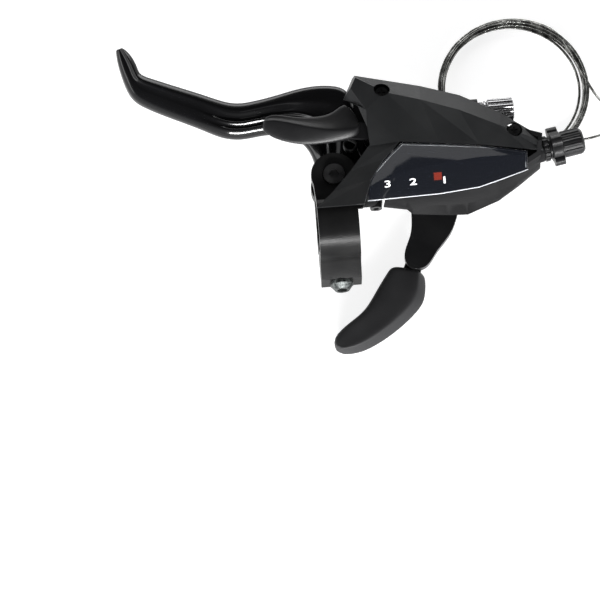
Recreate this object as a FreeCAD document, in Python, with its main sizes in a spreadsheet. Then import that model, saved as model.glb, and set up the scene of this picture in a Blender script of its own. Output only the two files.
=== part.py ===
import FreeCAD, Part
import math
import os

from FreeCAD import Placement, Rotation, Vector

# A left-hand combined brake lever and three-position thumb shifter for a 22.2 mm handlebar.
# Millimetres. The origin is the centre of the handlebar clamp. X runs along the bar towards the
# stem, Y points forward, away from the rider, and Z is up, along the axes of the levers.

os.makedirs("parts", exist_ok=True)
doc = FreeCAD.newDocument("thumb_shifter")

# ---------------------------------------------------------------- driving dimensions

dimensions = {
    # handlebar clamp
    "barRadius": 11.1, "clampRadius": 15.1, "clampWidth": 17.5, "earBottom": -20.6,
    "slitWidth": 1.8, "slitPlace": -6.0, "boltHeight": -15.6, "boltRadius": 2.5,
    "boltHeadRadius": 5.0, "boltHeadDepth": 3.8, "earRear": -20.5, "earFront": 3.0,
    "nutRadius": 4.6, "nutDepth": 4.0,
    # brake lever and its pivot
    "leverPivotPlace": 18.4, "leverPinRadius": 3.0, "pinHeadRadius": 4.6, "lobeRadius": 9.9,
    "lugTop": 13.0, "lugUnder": 8.3, "leverTop": 7.9, "leverUnder": -1.0, "lowLugTop": -1.4,
    "plateUnder": -7.0, "neckTop": 12.8, "leverRootRadius": 7.0, "runningGap": 0.05,
    "cableLine": 45.5, "cableHeight": 3.5,
    # release trigger
    "triggerPivotAlong": 19.0, "triggerPivotPlace": 36.0, "triggerUnder": 13.4,
    "triggerTop": 18.6, "triggerHubTop": 15.4, "triggerHubUnder": 9.6, "smallPin": 1.5,
    # shift unit
    "axleAlong": 47.0, "axlePlace": 32.0, "axleRadius": 3.0, "wireHeight": -2.0,
    "wireAngle": 10.0, "tipAlong": 91.0, "tipPlace": 27.7, "wireRadius": 0.6,
    "flangeRadius": 13.0, "spoolTop": 1.4, "spoolUnder": -5.4, "ratchetTop": -5.9,
    "ratchetUnder": -8.9, "basePlateTop": -12.2, "basePlateThick": 1.8,
    "topPlateUnder": 6.4, "topPlateThick": 1.8,
    # shells
    "wall": 1.8, "caseBottom": -17.5, "caseTurn": -14.0, "caseBulge": -11.0, "caseSeam": 3.0,
    "caseTop": 8.0, "lensThick": 1.6, "lensGap": 0.35,
    # thumb lever
    "armTop": -21.3, "armThick": 3.0, "paddleTop": -21.5, "paddleDepth": 7.6,
    # cable adjusters
    "brakeAdjusterRadius": 5.3, "brakeAdjusterStart": 68.5, "brakeAdjusterEnd": 80.5,
    "bossRadius": 5.7, "bossStart": 58.0, "bossEnd": 65.0, "threadRadius": 3.4,
    "shiftAdjusterRadius": 5.9, "wingRadius": 9.0, "shiftAdjusterLength": 18.6,
    "brakeHousing": 2.55, "shiftHousing": 2.05, "socketDepth": 8.0,
    # loose inner wire
    "coilAlong": 84.2, "coilPlace": 68.0, "coilOuter": 34.0, "coilInner": 29.0,
    "coilUnder": -31.0, "coilDepth": 3.8,
    # small steel and display pieces
    "fixingAlong": 17.6, "fixingPlace": 9.4, "fixingHeight": -9.2,
    "coverScrewHead": 2.7, "coverScrewCup": 3.5, "indicatorAlong": 15.6, "indicatorPlace": -17.0,
}

sheet = doc.addObject("Spreadsheet::Sheet", "dims")
for row, (alias, value) in enumerate(dimensions.items(), start=1):
    sheet.set("A%d" % row, alias)
    sheet.set("B%d" % row, str(value))
    sheet.setAlias("B%d" % row, alias)
doc.recompute()


def size(alias):
    return float(sheet.get(alias))


# ---------------------------------------------------------------- building helpers

subParts = []


def keep(feature, name):
    """Marks a finished object as a sub-part and gives it its name."""
    feature.Label = name
    subParts.append(feature)
    return feature


def bind(feature, **expressions):
    for prop, expression in expressions.items():
        feature.setExpression(prop.replace("__", "."), expression.replace("$", "dims."))
    return feature


def turnedTo(direction):
    return Rotation(Vector(0, 0, 1), Vector(*direction))


def cylinder(name, radius, height, at=(0, 0, 0), along=(0, 0, 1)):
    """A cylinder whose radius, height and place are expressions on the sheet."""
    part = doc.addObject("Part::Cylinder", name)
    part.Placement.Rotation = turnedTo(along)
    return place(bind(part, Radius=str(radius), Height=str(height)), at)


def cone(name, low, high, height, at=(0, 0, 0), along=(0, 0, 1)):
    part = doc.addObject("Part::Cone", name)
    part.Placement.Rotation = turnedTo(along)
    return place(bind(part, Radius1=str(low), Radius2=str(high), Height=str(height)), at)


def box(name, lengths, at):
    part = doc.addObject("Part::Box", name)
    bind(part, Length=str(lengths[0]), Width=str(lengths[1]), Height=str(lengths[2]))
    return place(part, at)


def place(part, at):
    for axis, where in zip("xyz", at):
        bind(part, **{"Placement__Base__" + axis: str(where)})
    return part


def cut(name, base, tool):
    part = doc.addObject("Part::Cut", name)
    part.Base, part.Tool = base, tool
    return part


def fuse(name, *pieces):
    part = doc.addObject("Part::MultiFuse", name)
    part.Shapes, part.Refine = list(pieces), True
    return part


def plane(body, role):
    return next(f for f in body.Origin.OriginFeatures if f.Role == role)


def outlineEdges(points, smooth):
    """Straight edges between points, or one closed curve through them."""
    corners = [Vector(x, y, 0) for x, y in points]
    if smooth:
        curve = Part.BSplineCurve()
        curve.interpolate(corners, PeriodicFlag=True)
        return [curve]
    return [Part.LineSegment(a, b) for a, b in zip(corners, corners[1:] + corners[:1])]


def padded(name, points, thick, under, smooth=False, role="XY_Plane", holes=()):
    """A plate of the given outline: a body with one sketch, one pad and round pockets."""
    body = doc.addObject("PartDesign::Body", name)
    sketch = body.newObject("Sketcher::SketchObject", name + "_outline")
    sketch.AttachmentSupport = [(plane(body, role), "")]
    sketch.MapMode = "FlatFace"
    sketch.addGeometry(outlineEdges(points, smooth), False)
    pad = body.newObject("PartDesign::Pad", name + "_pad")
    pad.Profile = sketch
    bind(pad, Length=str(thick))
    body.Tip = pad
    if holes:
        drilled = body.newObject("Sketcher::SketchObject", name + "_holes")
        drilled.AttachmentSupport = [(plane(body, role), "")]
        drilled.MapMode = "FlatFace"
        for x, y, radius in holes:
            drilled.addGeometry(Part.Circle(Vector(x, y, 0), Vector(0, 0, 1), radius), False)
        pocket = body.newObject("PartDesign::Pocket", name + "_pocket")
        pocket.Profile = drilled
        pocket.Type = 1
        pocket.Midplane = True
        body.Tip = pocket
    axis = {"XY_Plane": "z", "YZ_Plane": "x", "XZ_Plane": "y"}[role]
    bind(body, **{"Placement__Base__" + axis: str(under)})
    return body


def regular(count, radius, at=(0, 0), turn=0.0):
    steps = [math.radians(turn + 360.0 * i / count) for i in range(count)]
    return [(at[0] + radius * math.cos(a), at[1] + radius * math.sin(a)) for a in steps]


def ringPoints(teeth, outer, inner, at, lean=0.0):
    """A toothed outline; lean moves each root point on to make saw teeth."""
    pitch = 2 * math.pi / teeth
    points = []
    for i in range(teeth):
        for radius, share in ((outer, 0.0), (outer, 0.35), (inner, 0.5 + lean), (inner, 0.85)):
            turn = pitch * (i + share)
            points.append((at[0] + radius * math.cos(turn), at[1] + radius * math.sin(turn)))
    return points


def inset(points, amount):
    """The outline moved inwards by amount, for outlines that run anticlockwise."""
    moved = []
    for before, here, after in zip(points[-1:] + points[:-1], points, points[1:] + points[:1]):
        first = Vector(here[0] - before[0], here[1] - before[1], 0).normalize()
        second = Vector(after[0] - here[0], after[1] - here[1], 0).normalize()
        inFirst, inSecond = Vector(-first.y, first.x, 0), Vector(-second.y, second.x, 0)
        middle = inFirst + inSecond
        reach = amount * 2 / middle.Length ** 2
        moved.append((here[0] + middle.x * reach, here[1] + middle.y * reach))
    return moved


def wireAt(points, height):
    corners = [Vector(x, y, height) for x, y in points]
    return Part.makePolygon(corners + corners[:1])


def stacked(levels):
    """A ruled solid through outlines at rising heights, each with as many points."""
    return Part.makeLoft([wireAt(points, height) for height, points in levels], True, True)


def closedSolid(vertices, faces):
    """A solid from named corner points and triangulated faces."""
    triangles = []
    for face in faces:
        for i in range(1, len(face) - 1):
            corners = [vertices[face[0]], vertices[face[i]], vertices[face[i + 1]]]
            triangles.append(Part.Face(Part.makePolygon(corners + corners[:1])))
    solid = Part.Solid(Part.Shell(triangles))
    if solid.Volume < 0:
        solid.reverse()
    return solid


def shaped(name, shape, placement=None):
    """A feature whose shape is set here, placed afterwards."""
    part = doc.addObject("Part::Feature", name)
    part.Shape = shape.removeSplitter()
    if placement:
        part.Placement = placement
    return part


# ---------------------------------------------------------------- places that parts share

pivot = (0.0, size("leverPivotPlace"))
triggerPivot = (size("triggerPivotAlong"), size("triggerPivotPlace"))
axle = (size("axleAlong"), size("axlePlace"))
wireTurn = math.radians(size("wireAngle"))
wireWay = (math.cos(wireTurn), math.sin(wireTurn), 0)
wireTip = Vector(size("tipAlong"), size("tipPlace"), size("wireHeight"))


def alongWire(distance):
    return wireTip + Vector(*wireWay) * distance


# The spool's groove is as far from the axle as the wire's line is.
fromTip = Vector(axle[0], axle[1], 0) - Vector(wireTip.x, wireTip.y, 0)
spoolRadius = abs(fromTip.x * wireWay[1] - fromTip.y * wireWay[0])
tangentDistance = fromTip.dot(Vector(*wireWay))
tangentPoint = alongWire(tangentDistance)

# The window lies in a plane that slopes down towards the rider.
lensCorner = Vector(29.5, 29.0, 17.0)
lensUp = Vector(0.085, -0.549, 0.831).normalize()
lensRight = (Vector(1, 0, 0) - lensUp * lensUp.x).normalize()
lensBack = lensUp.cross(lensRight)
lensPlace = Placement(lensCorner, Rotation(lensRight, lensBack, lensUp, "ZXY"))


def onLens(x, y, above=0.0):
    return lensPlace.multVec(Vector(x, y, above))


lensOutline = [(0.3, -0.2), (-5.6, -5.0), (-11.7, -11.0), (-14.2, -15.2), (-15.8, -24.2), (15.6, -24.2),
               (33.0, -23.0), (42.0, -20.8), (54.6, -17.4), (54.8, -9.0), (34.2, -4.7), (17.1, -2.3)]


def windowBlock(low, high, grow):
    """The window's outline, grown, between two heights above its plane."""
    block = Part.Face(wireAt(inset(lensOutline, -grow), low)).extrude(Vector(0, 0, high - low))
    block.Placement = lensPlace
    return block


coverScrewPlaces = [(23.6, 52.6), (79.4, 33.6)]
coverScrewSeats = [15.6, 7.8]
caseScrewPlaces = [(31.0, 14.5), (62.0, 14.5), (56.0, 41.0)]
pawlPinPlace = (33.0, 40.5)
driveStudPlace = (60.4, 24.2)
pillarPlaces = [(32.8, 36.0), (61.9, 33.2)]

# ---------------------------------------------------------------- bracket and clamp

def leverBracket():
    """One casting: split handlebar clamp, neck, two lever lugs and the front beam."""
    ring = cylinder("clamp_ring", "$clampRadius", "$clampWidth", ("-$clampWidth/2", 0, 0), (1, 0, 0))
    earRear, earFront, low = size("earRear"), size("earFront"), size("earBottom")
    earOutline = [(earRear, low), (earFront, low), (earFront, -9.0), (0, 0), (-15.0, 0),
                  (-15.6, -4.0), (earRear, -11.0)]
    ears = padded("clamp_ears", earOutline, "$clampWidth", "-$clampWidth/2", role="YZ_Plane")
    neckOutline = [(-8.7, 3.0), (11.5, 3.0), (15.4, 14.0), (21.5, 22.4), (25.6, 27.2),
                   (16.2, 28.2), (7.0, 18.4), (-1.2, 9.6)]
    neck = padded("neck", neckOutline, "$neckTop-$plateUnder", "$plateUnder")
    topLug = cylinder("top_lug", "$lobeRadius", "$lugTop-$lugUnder", (0, "$leverPivotPlace", "$lugUnder"))
    lowLug = cylinder("low_lug", "$lobeRadius", "$lowLugTop-$plateUnder",
                      (0, "$leverPivotPlace", "$plateUnder"))
    webOutline = [(-8.5, 4.0), (11.0, 4.0), (10.5, 14.0), (8.6, 22.0), (-9.6, 20.0)]
    topWeb = padded("top_web", webOutline, "$lugTop-$lugUnder", "$lugUnder")
    rearWall = padded("rear_wall", [(-8.7, 2.0), (11.0, 2.0), (11.0, 10.0), (-8.7, 10.0)],
                      "$lugTop-$plateUnder", "$plateUnder")
    plateOutline = [(-8.7, 4.0), (12.0, 4.0), (26.0, 20.0), (26.0, 50.3), (17.2, 55.0),
                    (10.0, 57.6), (3.5, 50.0), (2.0, 36.0), (-9.0, 22.0)]
    lowPlate = padded("low_plate", plateOutline, "$lowLugTop-$plateUnder", "$plateUnder")
    beamOutline = [(17.2, 50.6), (57.8, 46.4), (58.6, 50.2), (17.2, 55.0)]
    beam = padded("front_beam", beamOutline, "10-$plateUnder", "$plateUnder")
    beamUnder = box("beam_under", (34, 12, 3.8), (27, 44, "$plateUnder-0.1"))
    boss = cylinder("adjuster_boss", "$bossRadius", "$bossEnd-$bossStart",
                    ("$bossStart", "$cableLine", "$cableHeight"), (1, 0, 0))
    bossBridge = box("boss_bridge", (4.5, 5.0, 10), (55.5, 45.4, "$cableHeight-5"))
    post = cylinder("trigger_post", 3.4, "$triggerHubUnder-0.2-$plateUnder",
                    ("$triggerPivotAlong", "$triggerPivotPlace", "$plateUnder"))
    tab = box("screw_tab", (7.2, 6.4, 11.6), (13.4, "$fixingPlace+2.7", "$fixingHeight-3.4"))
    solid = fuse("bracket_solid", ring, ears, neck, topLug, lowLug, topWeb, rearWall, lowPlate,
                 cut("beam_trimmed", beam, beamUnder), boss, bossBridge, post, tab)
    leverRoom = cylinder("lever_room", "$leverRootRadius+0.8", "$lugUnder-$lowLugTop",
                         (0, "$leverPivotPlace", "$lowLugTop"))
    sweepRoom = padded("sweep_room", [(-30, 19.5), (-7.7, 17.0), (7.6, 17.0), (10.0, 28.0),
                                      (15.6, 46.0), (15.6, 62.0), (-30, 62)],
                       "$lugUnder-$lowLugTop", "$lowLugTop")
    slit = box("clamp_slit", ("$clampWidth+2", "$slitWidth", 12),
               ("-$clampWidth/2-1", "$slitPlace-$slitWidth/2", "$earBottom-1"))
    tools = fuse(
        "bracket_room", leverRoom, sweepRoom, slit,
        box("indicator_room", (8, 6.8, 7.0), (17.0, 14.4, "-1.0")),
        cylinder("bar_bore", "$barRadius", "$clampWidth+2", ("-$clampWidth/2-1", 0, 0), (1, 0, 0)),
        cylinder("bar_room_in", "$barRadius+0.8", 30, ("$clampWidth/2", 0, 0), (1, 0, 0)),
        shaped("window_room", windowBlock(-6.2, 9.0, 0.25)),
        cylinder("clamp_bolt_hole", "$boltRadius+0.1", 40, (0, -28, "$boltHeight"), (0, 1, 0)),
        padded("nut_pocket", regular(6, size("nutRadius") + 0.15, (0, size("boltHeight")), 30),
               "$nutDepth+0.1", "$earFront+0.1", role="XZ_Plane"),
        cylinder("lever_pin_hole", "$leverPinRadius", 40, (0, "$leverPivotPlace", -15)),
        cylinder("pin_recess", "$pinHeadRadius+0.6", 3, (0, "$leverPivotPlace", "$lugTop-0.4")),
        cylinder("adjuster_thread", "$threadRadius+0.05", 12, (54, "$cableLine", "$cableHeight"),
                 (1, 0, 0)),
        cylinder("post_hole", "$smallPin", 12, ("$triggerPivotAlong", "$triggerPivotPlace", 0)),
        cylinder("tab_hole", 1.6, 14, ("$fixingAlong", "$fixingPlace", "$fixingHeight"), (0, 1, 0)),
        cylinder("tab_screw_room", 2.9, 5.0, ("$fixingAlong", "$fixingPlace-2.3", "$fixingHeight"),
                 (0, 1, 0)),
        cylinder("cover_screw_hole", 1.3, 12, (*coverScrewPlaces[0], 0)),
        box("ring_trim", (3.4, 24, 6), ("$clampWidth/2", "-12", "-3")),
    )
    return keep(cut("bracket_cut", solid, tools), "lever_bracket")


def clampFasteners():
    shank = cylinder("clamp_bolt_shank", "$boltRadius", "$earFront-$earRear+1",
                     (0, "$earRear-1", "$boltHeight"), (0, 1, 0))
    rim = cylinder("clamp_bolt_rim", "$boltHeadRadius", 1.4, (0, "$earRear-1.6", "$boltHeight"),
                   (0, 1, 0))
    dome = cone("clamp_bolt_dome", "$boltHeadRadius-1.8", "$boltHeadRadius-0.2",
                "$boltHeadDepth-1.6", (0, "$earRear-$boltHeadDepth", "$boltHeight"), (0, 1, 0))
    socket = padded("clamp_bolt_socket", regular(6, 2.3, (0, size("boltHeight"))), 2.4,
                    "$earRear-$boltHeadDepth+2.3", role="XZ_Plane")
    keep(cut("clamp_bolt_cut", fuse("clamp_bolt_solid", shank, rim, dome), socket), "clamp_bolt")
    washer = cylinder("washer_disc", "$boltHeadRadius-0.3", 0.2, (0, "$earRear-0.2", "$boltHeight"),
                      (0, 1, 0))
    washerHole = cylinder("washer_hole", "$boltRadius+0.05", 2, (0, "$earRear-1", "$boltHeight"),
                          (0, 1, 0))
    keep(cut("clamp_washer_cut", washer, washerHole), "clamp_washer")
    nut = padded("nut_hexagon", regular(6, size("nutRadius"), (0, size("boltHeight")), 30),
                 "$nutDepth", "$earFront", role="XZ_Plane")
    nutHole = cylinder("nut_hole", "$boltRadius", 12, (0, "$earFront-8", "$boltHeight"), (0, 1, 0))
    keep(cut("clamp_nut_cut", nut, nutHole), "clamp_nut")


# ---------------------------------------------------------------- brake lever

def brakeLever():
    """The blade with its hooked tip, its pivot eye and the slot for the cable cradle."""
    bladeOutline = [
        (-88.4, 86.2), (-85.4, 85.6), (-82.3, 81.4), (-80.4, 75.6), (-77.4, 73.0),
        (-54.0, 62.7), (-42.0, 57.8), (-33.0, 57.3), (-15.4, 60.2), (-3.0, 61.6), (7.5, 58.8),
        (13.0, 53.0), (13.2, 45.0), (9.0, 30.0), (6.9, 19.5), (0.0, 11.4), (-6.9, 19.5),
        (-7.6, 31.0), (-12.0, 40.0), (-21.0, 44.6), (-30.0, 45.0), (-38.3, 43.9), (-47.0, 46.0),
        (-76.0, 61.2), (-82.4, 65.2), (-85.2, 69.8), (-87.0, 76.0),
    ]
    blade = padded("lever_blade", bladeOutline, "$leverTop-$leverUnder", "$leverUnder", smooth=True)
    hole = cylinder("lever_eye", "$leverPinRadius+$runningGap+0.9", 12, (0, "$leverPivotPlace", -2))
    slot = box("cable_slot", (16, 2.4, 4.0), (6.0, "$cableLine-1.2", "$cableHeight-2"))
    seat = cylinder("cradle_seat", 3.3, 6.2, (8.0, "$cableLine", "$cableHeight-3.1"))
    mouth = box("cradle_mouth", (8.0, 6.6, 6.2), (8.0, "$cableLine-3.3", "$cableHeight-3.1"))
    solid = cut("lever_cut", blade, fuse("lever_room_tools", hole, slot, seat, mouth))
    keep(solid, "brake_lever")
    bush = cylinder("bush_outer", "$leverPinRadius+$runningGap+0.9", "$leverTop-$leverUnder",
                    (0, "$leverPivotPlace", "$leverUnder"))
    bushHole = cylinder("bush_bore", "$leverPinRadius+$runningGap", 20, (0, "$leverPivotPlace", -5))
    keep(cut("bush_cut", bush, bushHole), "lever_pivot_bush")
    cradle = cylinder("cradle_body", 3.2, 5.8, (8.0, "$cableLine", "$cableHeight-2.9"))
    cradleHole = cylinder("cradle_bore", 1.0, 12, (2.0, "$cableLine", "$cableHeight"), (1, 0, 0))
    cradleCup = cylinder("cradle_cup", 1.9, 3.0, (3.4, "$cableLine", "$cableHeight"), (1, 0, 0))
    keep(cut("cradle_cut", cradle, fuse("cradle_tools", cradleHole, cradleCup)), "cable_cradle")


def leverPivot():
    pin = cylinder("pin_shank", "$leverPinRadius", "$lugTop-$plateUnder+1.4",
                   (0, "$leverPivotPlace", "$plateUnder-1.8"))
    head = cylinder("pin_head", "$pinHeadRadius", 1.3, (0, "$leverPivotPlace", "$lugTop-0.4"))
    groove = cylinder("groove_outer", "$leverPinRadius+1", 0.7, (0, "$leverPivotPlace", "$plateUnder-0.9"))
    core = cylinder("groove_core", "$leverPinRadius-0.6", 0.7, (0, "$leverPivotPlace", "$plateUnder-0.9"))
    hexagon = padded("pin_socket", regular(6, 2.3, pivot), 1.2, "$lugTop+0.1")
    solid = fuse("pin_solid", pin, head)
    keep(cut("pin_cut", cut("pin_grooved", solid, cut("pin_groove", groove, core)), hexagon),
         "lever_pivot_pin")
    clip = cylinder("clip_disc", 5.2, 0.6, (0, "$leverPivotPlace", "$plateUnder-0.85"))
    clipBore = cylinder("clip_bore", "$leverPinRadius-0.55", 2, (0, "$leverPivotPlace", "$plateUnder-1.5"))
    clipMouth = box("clip_mouth", (4.0, 8.0, 2), (-2.0, "$leverPivotPlace-8.6", "$plateUnder-1.5"))
    keep(cut("clip_cut", clip, fuse("clip_tools", clipBore, clipMouth)), "pivot_clip")


# ---------------------------------------------------------------- springs

def coilSpring(name, centre, radius, wire, pitch, turns, legs=()):
    """A helix of round wire with straight legs, as separate touching runs fused to one solid."""
    helix = Part.makeLongHelix(pitch, pitch * turns, radius)
    start = Vector(radius, 0, 0)
    section = Part.Wire(Part.makeCircle(wire / 2, start, Vector(0, 1, 0)))
    body = Part.Wire(helix).makePipeShell([section], True, True)
    body.translate(Vector(*centre))
    for at, to in legs:
        run = Vector(*to) - Vector(*at)
        body = body.fuse(Part.makeCylinder(wire / 2, run.Length, Vector(*at), run))
    return keep(shaped(name, body), name)


# ---------------------------------------------------------------- release trigger

def releaseTrigger():
    finger = [(-29.3, 41.6), (-27.0, 46.2), (-23.6, 47.3), (-12.0, 44.8), (-2.0, 44.6),
              (4.6, 45.8), (8.4, 43.6), (9.8, 38.4), (8.0, 33.4), (-5.0, 32.2), (-16.0, 33.4),
              (-25.0, 37.6)]
    blade = padded("trigger_finger", finger, "$triggerTop-$triggerUnder", "$triggerUnder", smooth=True)
    hub = cylinder("trigger_hub", 4.6, "$triggerHubTop-$triggerHubUnder",
                   ("$triggerPivotAlong", "$triggerPivotPlace", "$triggerHubUnder"))
    web = padded("trigger_web", [(5.0, 34.0), (19.0, 31.6), (19.0, 40.4), (5.0, 43.0)],
                 "$triggerHubTop-$triggerUnder", "$triggerUnder")
    tail = padded("trigger_tail", [(20.0, 33.5), (29.0, 36.0), (29.0, 39.0), (20.0, 38.8)], 2.4,
                  "$triggerHubUnder")
    bore = cylinder("trigger_bore", "$smallPin+$runningGap", 12,
                    ("$triggerPivotAlong", "$triggerPivotPlace", 6))
    keep(cut("trigger_cut", fuse("trigger_solid", blade, hub, web, tail), bore), "release_trigger")
    shank = cylinder("trigger_pin_shank", "$smallPin", "$triggerHubTop+0.3-1",
                     ("$triggerPivotAlong", "$triggerPivotPlace", 1.0))
    cap = cylinder("trigger_pin_cap", 2.4, 0.5,
                   ("$triggerPivotAlong", "$triggerPivotPlace", "$triggerHubTop+0.1"))
    keep(fuse("trigger_pin_solid", shank, cap), "trigger_pivot_pin")


# ---------------------------------------------------------------- shift unit

def shiftAxle():
    """The fixed axle of the shift unit, nutted to the top plate; its thinner tail holds the lever."""
    shoulder = "$basePlateTop+0.4"
    tailEnd = "$armTop-$armThick-1"
    tailHole = cylinder("axle_tail_hole", 1.2, 5.0, ("$axleAlong", "$axlePlace", tailEnd + "-0.5"))
    shaft = cylinder("axle_shaft", "$axleRadius", "$topPlateUnder+$topPlateThick+3-(%s)" % shoulder,
                     ("$axleAlong", "$axlePlace", shoulder))
    tail = cylinder("axle_tail", 2.2, "%s-(%s)+0.5" % (shoulder, tailEnd),
                    ("$axleAlong", "$axlePlace", tailEnd))
    solid = fuse("axle_solid", shaft, tail)
    keep(cut("axle_cut", solid, tailHole), "shift_axle")
    nut = padded("axle_nut_hexagon", regular(6, 4.8, axle), 2.0,
                 "$topPlateUnder+$topPlateThick+0.6")
    nutHole = cylinder("axle_nut_hole", "$axleRadius", 8, ("$axleAlong", "$axlePlace", "$topPlateUnder"))
    keep(cut("axle_nut_cut", nut, nutHole), "axle_nut")
    washer = cylinder("axle_washer_disc", 5.6, 0.6,
                      ("$axleAlong", "$axlePlace", "$topPlateUnder+$topPlateThick"))
    washerHole = cylinder("axle_washer_hole", "$axleRadius+0.02", 4,
                          ("$axleAlong", "$axlePlace", "$topPlateUnder"))
    keep(cut("axle_washer_cut", washer, washerHole), "axle_washer")


def unitPlates():
    """The two steel plates that carry the mechanism, with the pawl pins pressed into the lower."""
    lowOutline = [(32.0, 15.0), (50.0, 10.0), (63.0, 16.0), (65.0, 33.6), (55.0, 42.0), (31.6, 42.6)]
    keep(padded("base_plate_sheet", lowOutline, "$basePlateThick", "$basePlateTop-$basePlateThick",
                holes=[(axle[0], axle[1], 6.3), (*pawlPinPlace, size("smallPin"))]),
         "base_plate")
    highOutline = [(33.0, 27.4), (59.0, 27.4), (64.2, 33.0), (57.0, 40.0), (33.0, 42.0), (31.2, 36.0)]
    keep(padded("top_plate_sheet", highOutline, "$topPlateThick", "$topPlateUnder",
                holes=[(axle[0], axle[1], size("axleRadius"))]), "top_plate")
    pillars = [cylinder("pillar_%d" % i, 1.4, "$topPlateUnder-$basePlateTop", (x, y, "$basePlateTop"))
               for i, (x, y) in enumerate(pillarPlaces)]
    keep(fuse("pillars_both", *pillars), "plate_pillars")


def wireSpool():
    """Two flanges, the groove for the wire, and the saw-toothed ratchet wheel below them."""
    at = ("$axleAlong", "$axlePlace")
    drum = cylinder("spool_drum", "$flangeRadius", "$spoolTop-$spoolUnder", (*at, "$spoolUnder"))
    grooveOuter = cylinder("groove_ring", "$flangeRadius+1", 1.5, (*at, "$wireHeight-0.75"))
    grooveCore = cylinder("groove_floor", spoolRadius - size("wireRadius") - 0.1, 1.5,
                          (*at, "$wireHeight-0.75"))
    bore = cylinder("spool_bore", "$axleRadius+$runningGap", 12, (*at, "$spoolUnder-2"))
    well = cylinder("spring_well", 9.2, 2.0, (*at, "$spoolTop-1.8"))
    nippleTurn = wireTurn - math.pi / 2 - math.radians(16)
    nippleAt = Vector(axle[0] + 11.2 * math.cos(nippleTurn), axle[1] + 11.2 * math.sin(nippleTurn), 0)
    seat = cylinder("nipple_seat", 1.75, 6, (nippleAt.x, nippleAt.y, "$wireHeight-1.6"))
    tools = fuse("spool_tools", cut("spool_groove", grooveOuter, grooveCore), bore, well, seat)
    keep(cut("spool_cut", drum, tools), "wire_spool")
    nipple = cylinder("nipple_body", 1.7, 3.1, (nippleAt.x, nippleAt.y, "$wireHeight-1.55"))
    keep(nipple, "wire_nipple")
    teeth = ringPoints(11, 10.6, 8.9, axle, 0.3)
    keep(padded("ratchet_teeth", teeth, "$ratchetTop-$ratchetUnder+0.45", "$ratchetUnder",
                holes=[(axle[0], axle[1], size("axleRadius") + size("runningGap"))]), "ratchet_wheel")


def pawls():
    """The holding pawl on its pin, and the drive pawl that rides on the thumb lever's hub."""
    keep(cylinder("pawl_pin_body", "$smallPin", "$ratchetTop-$basePlateTop+$basePlateThick+2.4",
                  (*pawlPinPlace, "$basePlateTop-$basePlateThick")), "pawl_pin")
    holding = [(30.4, 39.4), (32.0, 38.0), (35.2, 38.6), (38.0, 41.4), (45.9, 43.1), (45.4, 44.1),
               (37.0, 43.4), (32.0, 43.1), (30.6, 42.0)]
    keep(padded("holding_pawl_plate", holding, "$ratchetTop-$ratchetUnder-0.4", "$ratchetUnder+0.2",
                holes=[(*pawlPinPlace, size("smallPin") + size("runningGap"))]), "holding_pawl")
    carrier = cylinder("carrier_disc", 9.6, 1.8, ("$axleAlong", "$axlePlace", "$basePlateTop+0.3"))
    arm = padded("carrier_arm", [(52.0, 27.0), (61.0, 21.6), (62.6, 25.4), (54.0, 32.0)], 1.8,
                 "$basePlateTop+0.3")
    bore = cylinder("carrier_bore", "$axleRadius+$runningGap", 6,
                    ("$axleAlong", "$axlePlace", "$basePlateTop-1"))
    stud = cylinder("drive_stud", 1.2, 4.2, (*driveStudPlace, "$basePlateTop+0.3"))
    keep(cut("carrier_cut", fuse("carrier_solid", carrier, arm, stud), bore), "drive_carrier")
    drive = [(58.8, 22.6), (62.0, 22.8), (62.0, 25.6), (60.0, 26.4), (57.6, 27.8), (57.3, 26.2)]
    keep(padded("drive_pawl_plate", drive, 2.0, "$basePlateTop+2.5",
                holes=[(*driveStudPlace, 1.2 + size("runningGap"))]), "drive_pawl")


# ---------------------------------------------------------------- thumb lever

def thumbLever():
    """The steel arm with its hub on the axle's tail, and the moulded thumb pad."""
    armOutline = [(33.5, 24.0), (33.4, 11.5), (31.6, 0.0), (28.6, -10.5), (31.0, -14.4),
                  (36.4, -14.6), (42.2, -8.4), (49.6, 0.6), (53.2, 8.4), (57.0, 24.0),
                  (56.0, 36.0), (47.0, 42.0), (38.0, 38.0)]
    arm = padded("arm_plate", armOutline, "$armThick", "$armTop-$armThick", smooth=True)
    tongueOutline = [(28.8, -10.8), (35.6, -12.6), (33.4, -23.0), (26.4, -28.6), (22.6, -24.0)]
    tongue = padded("arm_tongue", tongueOutline, 2.4, "$armTop-$armThick-2.3")
    hub = cylinder("arm_hub", 6.0, "$basePlateTop+0.3-$armTop", ("$axleAlong", "$axlePlace", "$armTop"))
    bore = cylinder("arm_bore", "2.2+$runningGap", 30, ("$axleAlong", "$axlePlace", "-35"))
    keep(cut("arm_cut", fuse("arm_solid", arm, hub, tongue), bore), "thumb_lever_arm")
    padOutline = [(23.4, -11.0), (27.6, -10.2), (36.0, -14.0), (36.7, -18.6), (36.4, -28.0),
                  (30.6, -37.4), (20.4, -45.6), (8.0, -49.6), (-1.6, -49.6), (-5.6, -45.4),
                  (-3.6, -39.4), (6.4, -32.6), (12.0, -27.0), (18.0, -17.6)]
    pad = padded("pad_block", padOutline, "$paddleDepth", "$paddleTop-$paddleDepth", smooth=True)
    armRoom = padded("pad_arm_slot", armOutline, "$armThick", "$armTop-$armThick", smooth=True)
    tongueRoom = padded("pad_tongue_slot", tongueOutline, 2.4, "$armTop-$armThick-2.3")
    keep(cut("pad_cut", pad, fuse("pad_tools", armRoom, tongueRoom)), "thumb_pad")
    screw = cylinder("tail_screw", 4.2, 1.4, ("$axleAlong", "$axlePlace", "$armTop-$armThick-2.5"))
    shaft = cylinder("tail_screw_shaft", 1.15, 4.0, ("$axleAlong", "$axlePlace",
                                                    "$armTop-$armThick-1.5"))
    keep(fuse("lever_screw_solid", screw, shaft), "lever_retaining_screw")


# ---------------------------------------------------------------- covers and window

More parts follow.
